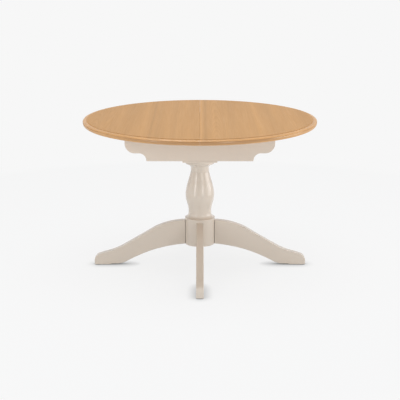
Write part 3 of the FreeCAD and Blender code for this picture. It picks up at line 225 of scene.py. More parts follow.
class Surface(Graph):
    """The nodes of one material, with a Principled shader on its output."""

    def __init__(self, name: str, grain: Grain) -> None:
        """Make the material, and coordinates turned so that the grain lies along Y."""
        self.material = bpy.data.materials.new(name)
        self.material.use_nodes = True
        super().__init__(self.material.node_tree)
        self.grain = grain
        self.output = self.add("OutputMaterial")
        self.shader = self.add("BsdfPrincipled")
        self.link(self.shader.outputs["BSDF"], self.output.inputs["Surface"])
        turned = self.add("Mapping", {"Vector": self.coordinates(), "Rotation": grain.value})
        self.place = turned.outputs["Vector"]

    def noise(self, layer: Noise) -> Value:
        """Give a soft noise of 0 to 1."""
        scale = (layer.across, layer.along, layer.across)
        scaled = self.add("Mapping", {"Vector": self.place, "Scale": scale})
        node = self.add("TexNoise", {"Vector": scaled.outputs["Vector"], "Scale": 1.0,
                                     "Detail": layer.detail})
        return Value(self, node.outputs["Fac"])

    def chance(self, number: Value) -> tuple[Value, Value]:
        """Give two random values of 0 to 1 for a whole number, the same on each run."""
        node = self.add("TexWhiteNoise", {"W": number}, noise_dimensions="1D")
        parts = self.add("SeparateColor", {0: node.outputs["Color"]}).outputs
        return Value(self, parts[0]), Value(self, parts[1])

    def between(self, value: Value, low: float, high: float) -> Value:
        """Stretch a value so that low becomes 0 and high becomes 1, and stop it there."""
        node = self.add("MapRange", {"Value": value, "From Min": low, "From Max": high},
                        interpolation_type="SMOOTHSTEP")
        return Value(self, node.outputs["Result"])

    def stripe(self, value: Value, middle: float, half_width: float) -> Value:
        """Give 1 where a value is at a middle, falling to 0 a half width away."""
        return 1.0 - self.between(abs(value - middle), 0.0, half_width)

    def blend(self, share: Value, first: Any, second: Any) -> Socket:
        """Mix two colours.

        Args:
            share: 0 gives the first colour and 1 the second.
            first: A linear colour or an output.
            second: A linear colour or an output.

        Returns:
            The mixed colour.
        """
        node = self.add("Mix", data_type="RGBA")
        self.link(share, node.inputs["Factor"])
        for colour, slot in zip((first, second), (slot for slot in node.inputs if slot.type == "RGBA")):
            self.link(colour, slot)
        return next(slot for slot in node.outputs if slot.type == "RGBA")

    def brighten(self, colour: Socket, gain: Value) -> Socket:
        """Multiply a colour by a number that varies over the surface."""
        return self.add("VectorMath", {0: colour, "Scale": gain}, operation="SCALE").outputs[0]

    def relief(self, height: Value, depth: float, strength: float = 0.5) -> None:
        """Let a height of 0 to 1 press a depth in metres into the surface."""
        bump = self.add("Bump", {"Strength": strength, "Distance": depth, "Height": height})
        self.set(Normal=bump.outputs["Normal"])

    def set(self, **sources: Any) -> None:
        """Set or feed the shader's inputs by name, with _ for a space."""
        for name, source in sources.items():
            self.link(source, self.shader.inputs[name.replace("_", " ")])


def around(value: Value, middle: float, swing: float) -> Value:
    """Turn a value of 0 to 1 into one that swings about a middle."""
    return value * swing + (middle - swing / 2)


def reach(first: Value, second: Value) -> Value:
    """Give the length of the slope over two sides at a right angle."""
    return (first * first + second * second).root()


class Finish:
    """A finish that is built from nodes."""

    def material(self, name: str, grain: Grain) -> Material:
        """Build the finish.

        Args:
            name: The material's name.
            grain: The way that the grain, the brush or the rub marks run.

        Returns:
            The finished material.
        """
        surface = Surface(name, grain)
        self.lay(surface)
        return surface.material

    def lay(self, surface: Surface) -> None:
        """Add the finish's own nodes."""
        raise NotImplementedError


@dataclass(frozen=True)
class Streak:
    """A stripe of other tone along a board.

    Attributes:
        place: Where its middle lies across the grain, in metres.
        half_width: From its middle to where it ends.
        depth: How much darker it is, or lighter where the number is negative.
    """

    place: float
    half_width: float
    depth: float


@dataclass(frozen=True)
class Oak(Finish):
    """Satin lacquered oak in edge-glued boards, figured by growth rings and pores.

    Attributes:
        pale: Wood between the rings.
        deep: Late wood of a ring.
        pore: The open pores.
        end: End grain, which drinks the lacquer.
        end_from: Share of the normal along the grain at which end grain starts to show.
        end_full: The share at which it is all end grain.
        board: Width of one glued board.
        board_swing: How much the boards differ in tone.
        board_lean: How much the tone may change over one board.
        glue_line: Half the width of the line where two boards meet.
        ring: Spacing of the growth rings.
        ring_bend: How far the rings wander.
        ring_edge: How late in a ring its dark wood comes.
        show: Level of the face that is looked at, which the rings are centred below.
        log_aside: How far the middle of a board's log may lie aside, in boards.
        log_slant: How much the log may climb along the board.
        log_below: How far its middle lies below the face at least.
        log_swing: How much deeper it may lie.
        rim: How far from the middle the moulded edge of the round top starts.
        rim_blend: How far its painted highlight and polish fade in to each side.
        streaks: Stripes of tone that stand out on the real top, the broad far-left one being painted
            shade.
        streak_drift: How far they wander.
    """

    pale: Colour = srgb(203, 156, 99)
    deep: Colour = srgb(184, 134, 76)
    pore: Colour = srgb(166, 117, 68)
    end: Colour = srgb(178, 133, 84)
    end_from: float = 0.62
    end_full: float = 0.94
    board: float = 0.115
    board_swing: float = 0.035
    board_lean: float = 0.05
    glue_line: float = 0.5 * MM
    glue_depth: float = 0.12
    ring: float = 4.2 * MM
    ring_bend: float = 0.05
    ring_edge: float = 2.2
    show: float = 0.76
    log_aside: float = 2.2
    log_slant: float = 0.10
    log_below: float = 0.035
    log_swing: float = 0.09
    rim: float = 0.561
    rim_blend: float = 4 * MM
    streaks: tuple[Streak, ...] = ()
    streak_drift: float = 0.02
    wander: Noise = Noise(2.2, 0.9, 1.0)
    broad: Noise = Noise(26.0, 0.8)
    fibre: Noise = Noise(340.0, 5.0, 3.0)
    pores: Noise = Noise(1500.0, 42.0, 1.0)
    pores_from: float = 0.60
    pores_full: float = 0.70
    pores_all_over: float = 0.2
    pores_on_rings: float = 0.5
    ring_share: float = 0.36
    fibre_share: float = 0.62
    broad_swing: float = 0.22
    # Painted highlight: the rim's colour is brightened in place of light shining on it; the polish and
    # coat below make it really glossier.
    rubbed_gain: float = 0.13
    rubbed_polish: float = 0.08
    rubbed_coat: float = 0.22
    roughness: float = 0.42
    rough_swing: float = 0.12
    fibre_height: float = 0.4
    relief: float = 0.12 * MM
    relief_strength: float = 0.6

    def lay(self, surface: Surface) -> None:
        """Figure the boards, lay the streaks over them, brighten the rim as painted highlight and lacquer
        it all.
        """
        place = surface.split(surface.place)
        board = place[0] / self.board
        index, share = board.floor(), board.fraction() - 0.5
        luck = surface.chance(index)
        wander = surface.noise(self.wander)
        rings = self.rings(place, index, luck, wander)
        fibre = surface.noise(self.fibre)
        pores = surface.between(surface.noise(self.pores), self.pores_from, self.pores_full)
        pores = pores * (rings * self.pores_on_rings + self.pores_all_over)
        figure = rings * self.ring_share + fibre * self.fibre_share
        colour = surface.blend(pores, surface.blend(figure, self.pale, self.deep), self.pore)
        tone = around(surface.noise(self.broad), 1.0, self.broad_swing)
        tone = tone * around(luck[0], 1.0, self.board_swing)
        tone = tone + share * ((luck[1] - 0.5) * self.board_lean)
        joint = surface.between(abs(share), 0.5 - self.glue_line / self.board, 0.5)
        tone = tone - joint * self.glue_depth
        drift = (wander - 0.5) * self.streak_drift + place[0]
        # Streaks of wood tone; the broad far-left dark band among them is painted shade.
        for streak in self.streaks:
            tone = tone - surface.stripe(drift, streak.place, streak.half_width) * streak.depth
        rubbed = self.rubbed(surface)
        # Painted highlight on the moulded rim: brighter colour in place of light.
        colour = surface.brighten(colour, tone + rubbed * self.rubbed_gain)
        rough = around(fibre, self.roughness, self.rough_swing)
        surface.set(Base_Color=surface.blend(self.end_grain(surface), colour, self.end),
                    Roughness=rough - rubbed * self.rubbed_polish, Specular_IOR_Level=0.10,
                    Coat_Weight=rubbed * self.rubbed_coat, Coat_Roughness=0.24, Coat_IOR=3.0)
        surface.relief(fibre * self.fibre_height - pores, self.relief, self.relief_strength)

    def end_grain(self, surface: Surface) -> Value:
        """Give 1 where the surface cuts across the grain and 0 where it runs along it."""
        facing = surface.split(surface.coordinates("Normal"))[surface.grain.axis]
        return surface.between(abs(facing), self.end_from, self.end_full)

    def rubbed(self, surface: Surface) -> Value:
        """Give 1 on the moulded edge, where the colour gets a painted highlight and the lacquer is
        glossier.
        """
        across, along, _ = surface.split(surface.coordinates())
        return surface.between(reach(across, along), self.rim - self.rim_blend, self.rim + self.rim_blend)

    def rings(self, place: tuple[Value, ...], index: Value, luck: tuple[Value, Value],
              wander: Value) -> Value:
        """Cut each board out of its own log, so that arches and straight figure both occur.

        Args:
            place: Coordinates across, along and up.
            index: The board's number.
            luck: Two random values of the board.
            wander: A slow noise that bends the rings.

        Returns:
            0 to 1 across each ring, with a sharp late-wood edge.
        """
        across, along, up = place
        middle = (index + around(luck[0], 0.5, self.log_aside)) * self.board
        slant = along * around(luck[1], 0.0, self.log_slant)
        pith = luck[1] * -self.log_swing + (self.show - self.log_below) + slant
        bent = wander * self.ring_bend + reach(across - middle, up - pith)
        return (bent / self.ring).fraction() ** self.ring_edge


@dataclass(frozen=True)
class Beech(Finish):
    """Planed bare beech with its short brown flecks.

    Attributes:
        pale: Lightest wood.
        deep: Late wood.
        fleck: The small dashes of the rays.
        ring_count: How many rings the broad noise is cut into.
    """

    pale: Colour = srgb(224, 192, 154)
    deep: Colour = srgb(207, 169, 130)
    fleck: Colour = srgb(176, 134, 98)
    broad: Noise = Noise(34.0, 1.6)
    fibre: Noise = Noise(420.0, 9.0)
    flecks: Noise = Noise(900.0, 150.0, 1.0)
    flecks_from: float = 0.64
    flecks_full: float = 0.72
    fleck_share: float = 0.6
    ring_count: float = 9.0
    ring_share: float = 0.4
    fibre_share: float = 0.5
    roughness: float = 0.625
    rough_swing: float = 0.15
    relief: float = 0.1 * MM

    def lay(self, surface: Surface) -> None:
        """Draw rings and fibre, scatter the flecks and leave the wood dull."""
        rings = (surface.noise(self.broad) * self.ring_count).fraction()
        fibre = surface.noise(self.fibre)
        flecks = surface.between(surface.noise(self.flecks), self.flecks_from, self.flecks_full)
        figure = rings * self.ring_share + fibre * self.fibre_share
        wood = surface.blend(figure, self.pale, self.deep)
        surface.set(Base_Color=surface.blend(flecks * self.fleck_share, wood, self.fleck),
                    Roughness=around(fibre, self.roughness, self.rough_swing),
                    Specular_IOR_Level=0.35)
        surface.relief(fibre, self.relief)


@dataclass(frozen=True)
class Seats:
    """The strips of the hub that the legs' ends cover, coloured dark as bare wood and painted shade.

    Attributes:
        half_width: From a leg's middle to where the strip ends.
        low: Level where the strips start.
        high: Level where they end.
    """

    half_width: float
    low: float
    high: float

    def mask(self, surface: Surface) -> Value:
        """Give 1 on the strips and 0 elsewhere."""
        along, across, up = surface.split(surface.coordinates())
        inside = abs(along).or_less(abs(across)).under(self.half_width)
        return inside * (up.over(self.low) * up.under(self.high))


@dataclass(frozen=True)
class Paint(Finish):
    """Satin furniture paint, rolled and brushed on wood.

    Attributes:
        body: The paint's colour.
        thin: The same paint where it lies a little thinner.
        bare: Bare wood and glue where a seat was kept free of paint, darkened as painted shade of the
            crevice round each leg's end.
        seats: Where the dark seats of bare wood and painted shade lie, if anywhere.
    """

    body: Colour = srgb(224, 213, 200)
    thin: Colour = srgb(217, 205, 190)
    bare: Colour = srgb(92, 74, 58)
    seats: Seats | None = None
    cloud: Noise = Noise(7.0, 3.0)
    brush: Noise = Noise(520.0, 7.0)
    peel: Noise = Noise(640.0, 640.0, 1.0)
    cloud_share: float = 0.6
    brush_share: float = 0.35
    brush_height: float = 0.7
    peel_height: float = 0.3
    roughness: float = 0.25
    rough_swing: float = 0.10
    relief: float = 0.06 * MM

    def lay(self, surface: Surface) -> None:
        """Spread the film, colour the seats dark as bare wood and painted shade, and leave the brush's
        lines.
        """
        brush = surface.noise(self.brush)
        share = surface.noise(self.cloud) * self.cloud_share + brush * self.brush_share
        colour = surface.blend(share, self.body, self.thin)
        if self.seats:
            # Painted shade: the hub under each leg's end is coloured dark, for bare wood and for the
            # shadow of the crevice between leg and hub.
            colour = surface.blend(self.seats.mask(surface), colour, self.bare)
        surface.set(Base_Color=colour,
                    Roughness=around(brush, self.roughness, self.rough_swing),
                    Specular_IOR_Level=0.5, Coat_Weight=0.6, Coat_Roughness=0.26)
        height = brush * self.brush_height + surface.noise(self.peel) * self.peel_height
        surface.relief(height, self.relief)


@dataclass(frozen=True)
class Toned(Finish):
    """Two tones that drift into each other, over one fine texture.

    Attributes:
        main: The main colour.
        other: The one where the plating is thicker or the plastic is rubbed.
        roughness: Mean roughness.
    """

    main: Colour
    other: Colour
    roughness: float = 0.5
    rough_swing: float = 0.14
    drift: Noise = Noise(40.0, 22.0)
    drift_from: float = 0.35
    drift_full: float = 0.75
    texture: Noise = Noise(2200.0, 2200.0, 1.0)
    relief: float = 0.05 * MM
    metallic: float = 0.0
    specular: float = 0.45

    def lay(self, surface: Surface) -> None:
        """Let the tones drift and press the texture in."""
        texture = surface.noise(self.texture)
        drift = surface.between(surface.noise(self.drift), self.drift_from, self.drift_full)
        surface.set(Base_Color=surface.blend(drift, self.main, self.other), Metallic=self.metallic,
                    Roughness=around(texture, self.roughness, self.rough_swing),
                    Specular_IOR_Level=self.specular)
        surface.relief(texture, self.relief)


@dataclass(frozen=True)
class Moulded(Toned):
    """Moulded plastic with a fine spark texture."""


@dataclass(frozen=True)
class Plated(Toned):
    """Plated steel with the drift of its plating and fine drawing lines."""

    roughness: float = 0.34
    rough_swing: float = 0.16
    drift: Noise = Noise(90.0, 60.0)
    drift_from: float = 0.3
    drift_full: float = 0.7
    texture: Noise = Noise(2400.0, 60.0, 1.0)
    relief: float = 0.03 * MM
    metallic: float = 1.0
    specular: float = 0.5


class Slot(Enum):
    """The material slots of the record."""

    OAK = "oak"
    STONE_PAINT = "stone_paint"
    BEECH = "beech"
    DOWEL_BEECH = "dowel_beech"
    NYLON = "nylon"
    ZINC_STEEL = "zinc_steel"
    YELLOW_SCREW = "yellow_screw"
    HINGE_BRASS = "hinge_brass"
    GLIDE_PLASTIC = "glide_plastic"


# Stripes of the real top: a dark one with a pale neighbour on the left half, a pale line
# along the seam with a dark band beside it, and softer ones further out. The first row, a
# broad dark band at the far left, is painted shade of the top's left side, which gets less
# light. Each row gives a streak's place, half width and depth.
TOP_STREAKS_AND_SHADE = tuple(Streak(*row) for row in (
    (-0.490, 0.110, 0.060), (-0.345, 0.040, 0.040), (-0.264, 0.024, -0.065), (-0.228, 0.014, 0.105),
    (-0.206, 0.030, 0.045), (-0.120, 0.036, 0.035), (-0.060, 0.022, -0.025), (0.003, 0.007, -0.120),
    (0.024, 0.017, 0.120), (0.064, 0.014, -0.030), (0.155, 0.030, 0.045), (0.279, 0.016, -0.055),
    (0.345, 0.040, 0.030), (0.470, 0.035, -0.025),
))

FINISHES = {
    Slot.OAK: Oak(streaks=TOP_STREAKS_AND_SHADE),
    Slot.STONE_PAINT: Paint(),
    Slot.BEECH: Beech(),
    Slot.DOWEL_BEECH: Beech(pale=srgb(229, 201, 164), deep=srgb(214, 180, 140)),
    Slot.NYLON: Moulded(srgb(236, 233, 222), srgb(222, 218, 204)),
    Slot.ZINC_STEEL: Plated(srgb(200, 203, 207), srgb(176, 180, 186)),
    Slot.YELLOW_SCREW: Plated(srgb(206, 184, 118), srgb(186, 172, 128), roughness=0.3),
    Slot.HINGE_BRASS: Plated(srgb(212, 178, 104), srgb(190, 154, 84), roughness=0.28),
    Slot.GLIDE_PLASTIC: Moulded(srgb(62, 57, 53), srgb(84, 79, 74), roughness=0.6),
}


class Finisher:
    """Builds each finish once for each way of the grain and puts it on pieces."""

    def __init__(self, record: dict[str, Any]) -> None:
        """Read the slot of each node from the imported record."""
        self.slots = {part["node"]: Slot(part["material_slot"]) for part in record["subparts"]}
        self.made: dict[tuple[Slot, Grain], Material] = {}

    def material(self, slot: Slot, grain: Grain) -> Material:
        """Give the finish of a slot for one way of the grain."""
        key = (slot, grain)
        if key not in self.made:
            name = f"{slot.value}_{grain.name.lower()}"
            self.made[key] = FINISHES[slot].material(name, grain)
        return self.made[key]

    @staticmethod
    def put(item: Item, material: Material) -> None:
        """Make a material an object's only one."""
        item.data.materials.clear()
        item.data.materials.append(material)

    def dress(self, item: Item, node: str, grain: Grain) -> None:
        """Put the finish of a node's slot on an object."""
        self.put(item, self.material(self.slots[node], grain))

    def dress_nodes(self, names: Names, grain: Grain) -> None:
        """Put on each CAD node the finish of its own slot."""
        for name in names:
            self.dress(frame["nodes"][name], name, grain)
            LOG.info("dressed %s with the grain %s", name, grain.name)


@dataclass
class Assembly:
    """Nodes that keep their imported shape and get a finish, by the way that their grain runs."""

    along_x: Names = ()
    along_y: Names = ()
    along_z: Names = ()

    def dress(self, finisher: Finisher) -> None:
        """Put on each node the finish of its slot."""
        for grain in Grain:
            finisher.dress_nodes(getattr(self, grain.name.lower()), grain)


@dataclass
class Top(Assembly):
    """The two oak half tops, figured along the seam, with what is screwed and glued to them."""

    along_x: Names = (
        "runner_left_front", "runner_left_back", "runner_right_front", "runner_right_back",
        "rack_left", "rack_right", "seam_dowels",
    )
    along_y: Names = ("top_half_left", "top_half_right")


@dataclass
class Leaf(Assembly):
    """The folded leaf in the well, which lies a quarter turn round, with its hinges and dowels."""

    along_x: Names = ("leaf_wing_upper", "leaf_wing_lower")
    along_y: Names = (
        "hinge_plates_upper", "hinge_plates_lower", "hinge_pins", "leaf_dowels",
    )


@dataclass
class Frame(Assembly):
    """The fixed frame: painted aprons over bare beech rails, bearers and blocks."""

    along_x: Names = ("apron_front", "apron_back", "track_front", "track_back", "leaf_guides")
    along_y: Names = (
        "bridge", "leaf_bearer_left", "leaf_bearer_right", "end_board", "column_bearer",
    )
    along_z: Names = ("glue_blocks", "pinion", "pinion_pin")


@dataclass
class Pedestal(Assembly):
    """Column, hub and the four curved legs, with what bolts them together.

    Attributes:
        seat_margin: How far a leg covers the dark strip of bare wood and painted shade under it.
        end_reach: How deep a leg's inner end counts as its end.
    """

    along_x: Names = ("leg_left", "leg_right")
    along_y: Names = ("leg_front", "leg_back")
    along_z: Names = (
        "column", "hub_cover", "column_dowels",
        "tie_rod", "tie_nuts", "tie_washers", "leg_bolts", "leg_nuts", "leg_washers",
    )
    seat_margin: float = 0.3 * MM
    end_reach: float = 2 * MM

    def dress(self, finisher: Finisher) -> None:
        """Draw the brush up the turned pieces and along the legs."""
        super().dress(finisher)
        # The hub's paint has dark seats under the legs: bare wood and painted shade.
        paint = Paint(seats=self.seats()).material("stone_paint_hub", Grain.ALONG_Z)
        finisher.put(frame["nodes"]["hub"], paint)

    def seats(self) -> Seats:
        """Measure the strips of the hub that the legs cover, from one leg's inner end."""
        low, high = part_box("leg_right")
        levels = [corner.co.z for corner in frame["nodes"]["leg_right"].data.vertices
                  if corner.co.x < low.x + self.end_reach]
        return Seats(high.y - self.seat_margin, min(levels), max(levels))


@dataclass
class Locks(Assembly):
    """The seam locks under the top."""

    along_y: Names = ("lock_plates", "keeper_plates", "lock_lever_front", "lock_lever_back")


class Bench:
    """Short ways to work on one mesh at a time with Blender's operators."""

    weld_reach = 0.001 * MM
    sliver = 0.002 * MM
    flat = math.radians(0.5)

    @staticmethod
    def only(*items: Item) -> None:
        """Select some objects alone and make the first the active one."""
        bpy.ops.object.select_all(action="DESELECT")
        for item in items:
            item.select_set(True)
        bpy.context.view_layer.objects.active = items[0]

    @staticmethod
    def start(kind: str, **sizes: Any) -> Item:
        """Add a mesh primitive at its size and place, with nothing else selected."""
        bpy.ops.object.select_all(action="DESELECT")
        getattr(bpy.ops.mesh, f"primitive_{kind}_add")(**sizes)
        item = bpy.context.active_object
        bpy.ops.object.transform_apply(location=True, rotation=True, scale=True)
        return item

    @staticmethod
    def bar(sides: int, radius: float, start: float, end: float) -> Item:
        """Add a cylinder that hangs from one depth below the origin to another."""
        return Bench.start("cylinder", vertices=sides, radius=radius, depth=end - start,
                           location=(0.0, 0.0, -(start + end) / 2))

    @staticmethod
    def open(item: Item) -> None:
        """Open an object's mesh with all of it selected."""
        Bench.only(item)
        bpy.ops.object.mode_set(mode="EDIT")
        bpy.ops.mesh.select_all(action="SELECT")

    @staticmethod
    def close() -> None:
        """Leave edit mode."""
        bpy.ops.object.mode_set(mode="OBJECT")

    @staticmethod
    def pick(item: Item, test: Callable[[Vector, Vector], bool]) -> None:
        """Open an object's mesh with only some faces selected.

        Args:
            item: The object.
            test: Says from a face's middle and normal whether it is wanted.
        """
        Bench.open(item)
        bpy.ops.mesh.select_mode(type="FACE")
        bpy.ops.mesh.select_all(action="DESELECT")
        Bench.close()
        for face in item.data.polygons:
            face.select = test(face.center, face.normal)
        bpy.ops.object.mode_set(mode="EDIT")

    @staticmethod
    def modify(item: Item, kind: str, **settings: Any) -> None:
        """Give an object a modifier and turn it into mesh."""
        modifier = item.modifiers.new(kind.lower(), kind)
        for name, setting in settings.items():
            setattr(modifier, name, setting)
        Bench.only(item)
        bpy.ops.object.modifier_apply(modifier=modifier.name)

    @staticmethod
    def soften(item: Item, width: float, segments: int = 1) -> None:
        """Bevel the sharp edges."""
        Bench.modify(item, "BEVEL", width=width, segments=segments, limit_method="ANGLE",
                     angle_limit=SHARP)
        Bench.trim(item)

    @staticmethod
    def carve(item: Item, tool: Item, operation: str = "DIFFERENCE") -> None:
        """Cut a shape out of an object, or keep what both share, and drop the tool."""
        Bench.modify(item, "BOOLEAN", operation=operation, solver="EXACT", object=tool)
        Bench.trim(item)
        bpy.data.objects.remove(tool)

    @staticmethod
    def trim(item: Item) -> None:
        """Join the doubled corners that a cut leaves and dissolve its slivers."""
        Bench.open(item)
        bpy.ops.mesh.remove_doubles(threshold=Bench.sliver)
        bpy.ops.mesh.dissolve_degenerate(threshold=Bench.sliver)
        Bench.close()

    @staticmethod
    def weld(items: list[Item], name: str) -> Item:
        """Join objects into one, shade it smooth up to its sharp edges and name it."""
        Bench.only(*items)
        if len(items) > 1:
            bpy.ops.object.join()
        bpy.ops.object.transform_apply(location=True, rotation=True, scale=True)
        bpy.ops.object.shade_smooth_by_angle(angle=SHARP)
        items[0].name = items[0].data.name = name
        return items[0]

    @staticmethod
    def islands(node: str) -> list[Item]:
        """Copy a CAD node and split the copy into its separate solids."""
        Bench.open(Bench.merged(node))
        bpy.ops.mesh.separate(type="LOOSE")
        Bench.close()
        return list(bpy.context.selected_objects)

    @staticmethod
    def merged(node: str) -> Item:
        """Copy a CAD node with its loose triangles joined up and its flat faces whole."""
        copy = bpy.data.objects.new(f"{node}_copy", frame["nodes"][node].data.copy())
        bpy.context.scene.collection.objects.link(copy)
        Bench.open(copy)
        bpy.ops.mesh.remove_doubles(threshold=Bench.weld_reach)
        bpy.ops.mesh.dissolve_limited(angle_limit=Bench.flat)
        Bench.close()
        return copy


@dataclass(frozen=True)
class Fixing:
    """A fixing that hangs down from the origin by its outer end.

    Attributes:
        length: From end to end.
        radius: Of its widest part, over corners and ribs.
        collar: How far the widest part reaches from the outer end.
        lies: Picks the axis that it lies along, by its longest side or its shortest.
    """

    length: float
    radius: float
    collar: float
    lies = max

    def build(self) -> Item:
        """Model it."""
        raise NotImplementedError


@dataclass(frozen=True)
class Seat:
    """Where a fixing sits.

    Attributes:
        spot: Middle of its outer end.
        way: Unit vector from the outer end inwards.
        fixing: What sits there.
    """

    spot: Vector
    way: Vector
    fixing: Fixing
    near = 0.02 * MM
    widest_share = 0.98

    @classmethod
    def of(cls, solid: Item, kind: type[Fixing]) -> "Seat":
        """Measure a solid of revolution that lies along one of the axes.

        Args:
            solid: The solid.
            kind: The fixing that it stands for.

        Returns:
            Its seat, with the wider end as the outer one.
        """
        points = [vertex.co for vertex in solid.data.vertices]
        low = Vector(min(point[i] for point in points) for i in range(3))
        high = Vector(max(point[i] for point in points) for i in range(3))
        size = high - low
        middle = (low + high) / 2
        axis = kind.lies(range(3), key=lambda i: size[i])
        others = [i for i in range(3) if i != axis]

        def off_axis(point: Vector) -> float:
            """Give how far a point lies from the solid's own axis."""
            return math.hypot(*(point[i] - middle[i] for i in others))

        def spread(level: float) -> float:
            """Give the radius of the ring of points at one end."""
            return max(off_axis(point) for point in points if abs(point[axis] - level) < cls.near)

        outer_low = spread(low[axis]) > spread(high[axis])
        spot = middle.copy()
        spot[axis] = low[axis] if outer_low else high[axis]
        way = Vector((0.0, 0.0, 0.0))
        way[axis] = 1.0 if outer_low else -1.0
        wide = max(spread(low[axis]), spread(high[axis]))
        collar = max(abs(point[axis] - spot[axis]) for point in points
                     if off_axis(point) > cls.widest_share * wide)
        return cls(spot, way, kind(size[axis], wide, collar))

    def set_down(self, item: Item, turn: float) -> Item:
        """Copy a template that hangs down from the origin to this seat, with its own mesh."""
        copy = item.copy()
        copy.data = item.data.copy()
        bpy.context.scene.collection.objects.link(copy)
        lean = Vector((0.0, 0.0, -1.0)).rotation_difference(self.way).to_matrix().to_4x4()
        copy.matrix_world = Matrix.Translation(self.spot) @ lean @ Matrix.Rotation(turn, 4, "Z")
        return copy


class Screw(Fixing):
    """A countersunk wood screw with a cross recess.

    Attributes:
        sides: Sides of the shank; the head has twice as many.
        steps: Steps in one turn of the thread.
    """

    shank_share = 0.5
    sides = 20
    steps = 12
    cone_share = 0.59
    core_share = 0.70
    thread_share = 0.62
    tip_share = 0.10
    point_share = 0.08
    pitch_share = 0.85
    neck_from = 0.9
    root_from = 0.95
    rib_sink = 1.3
    ease_share = 0.12
    head_foot_share = 0.98
    head_ease_share = 0.04
    recess_reach = 0.60
    recess_wing = 0.17
    recess_depth = 0.80
    recess_taper = 0.35

    @property
    def shank(self) -> float:
        """Give the radius over the thread."""
        return self.radius * self.shank_share

    def build(self) -> Item:
        """Make head, shank, thread and tip and join them."""
        cone = self.radius * self.cone_share
        tip = self.length * self.tip_share
        core = self.shank * self.core_share
        plain = self.length - self.length * self.thread_share
        head = self.build_head(cone)
        neck = self.bar(self.shank, cone * self.neck_from, plain)
        root = self.bar(core, plain * self.root_from, self.length - tip)
        point = Bench.start("cone", vertices=self.sides, radius1=self.point_share * self.shank,
                            radius2=core, depth=tip, location=(0.0, 0.0, -self.length + tip / 2))
        return Bench.weld([head, neck, root, point, self.build_thread(core, plain, tip)], "screw")

    def bar(self, radius: float, start: float, end: float) -> Item:
        """Make a stretch of shank between two depths, with eased ends."""
        bar = Bench.bar(self.sides, radius, start, end)
        Bench.soften(bar, radius * self.ease_share)
        return bar

    def build_head(self, cone: float) -> Item:
        """Make the countersunk head and drive the cross recess into it."""
        head = Bench.start("cone", vertices=self.sides * 2, radius1=self.shank * self.head_foot_share,
                           radius2=self.radius, depth=cone, location=(0.0, 0.0, -cone / 2))
        Bench.soften(head, self.radius * self.head_ease_share, segments=2)
        size = [share * 2 for share in (self.radius * self.recess_reach,
                                        self.radius * self.recess_wing, cone * self.recess_depth)]
        for turn in (0.0, math.pi / 2):
            blade = Bench.start("cube", size=1.0, scale=size, rotation=(0.0, 0.0, turn))
            Bench.pick(blade, lambda middle, facing: facing.z < -0.9)
            bpy.ops.transform.resize(value=(self.recess_taper, self.recess_taper, 1.0))
            Bench.close()
            Bench.carve(head, blade)
        return head

    def build_thread(self, core: float, plain: float, tip: float) -> Item:
        """Wind a three-sided rib round the core.

        Args:
            core: Radius of the core.
            plain: Depth at which the thread starts.
            tip: Length of the tip, which has none.

        Returns:
            The rib, closed at both ends.
        """
        pitch = self.shank * self.pitch_share
        rib = (self.shank - core) / self.rib_sink
        turns = max(3, int((self.length - plain - tip) / pitch) - 1)
        lowest = -self.length + tip + rib
        thread = Bench.start("circle", vertices=3, radius=rib, fill_type="NOTHING",
                             location=(self.shank - rib, 0.0, lowest),
                             rotation=(math.pi / 2, math.pi / 2, 0.0))
        Bench.modify(thread, "SCREW", axis="Z", angle=math.tau, screw_offset=pitch,
                     iterations=turns, steps=self.steps, render_steps=self.steps)
        Bench.open(thread)
        bpy.ops.mesh.fill_holes(sides=0)
        bpy.ops.mesh.select_all(action="SELECT")
        bpy.ops.mesh.normals_make_consistent(inside=False)
        Bench.close()
        return thread


class Nut(Fixing):
    """A hexagon nut, chamfered on both faces."""

    lies = min
    bore_share = 0.55
    disc_sides = 48
    bore_sides = 32
    disc_share = 1.01
    chamfer_share = 0.16
    ease_share = 0.025

    def build(self) -> Item:
        """Cut the chamfer with a bevelled disc, then the hole with its lead-in."""
        nut = Bench.bar(6, self.radius, 0.0, self.length)
        disc = Bench.bar(self.disc_sides, self.radius * self.disc_share, 0.0, self.length)
        Bench.soften(disc, self.radius * self.chamfer_share)
        Bench.carve(nut, disc, "INTERSECT")
        Bench.carve(nut, Bench.bar(self.bore_sides, self.radius * self.bore_share,
                                   -self.length / 2, self.length * 3 / 2))
        Bench.soften(nut, self.radius * self.ease_share)
        return Bench.weld([nut], "nut")


class Dowel(Fixing):
    """A fluted dowel with chamfered ends."""

    flutes = 14
    flute_share = 0.05
    chamfer_share = 0.14

    def build(self) -> Item:
        """Press every other strip of the round inwards and chamfer the ends."""
        dowel = Bench.bar(self.flutes * 2, self.radius, 0.0, self.length)
        step = math.pi / self.flutes

        def strip(middle: Vector, facing: Vector) -> bool:
            """Say whether a face is one of the strips between the ribs."""
            turn = math.atan2(facing.x, facing.y) % math.tau
            return abs(facing.z) < 0.5 and int(turn / step) % 2 == 0

        Bench.pick(dowel, strip)
        flute = self.radius * self.flute_share
        bpy.ops.mesh.inset(thickness=flute, depth=-flute, use_individual=True)
        Bench.close()
        Bench.pick(dowel, lambda middle, facing: abs(facing.z) > 0.9)
        bpy.ops.mesh.bevel(offset=self.radius * self.chamfer_share, segments=1, affect="EDGES")
        Bench.close()
        return Bench.weld([dowel], "dowel")


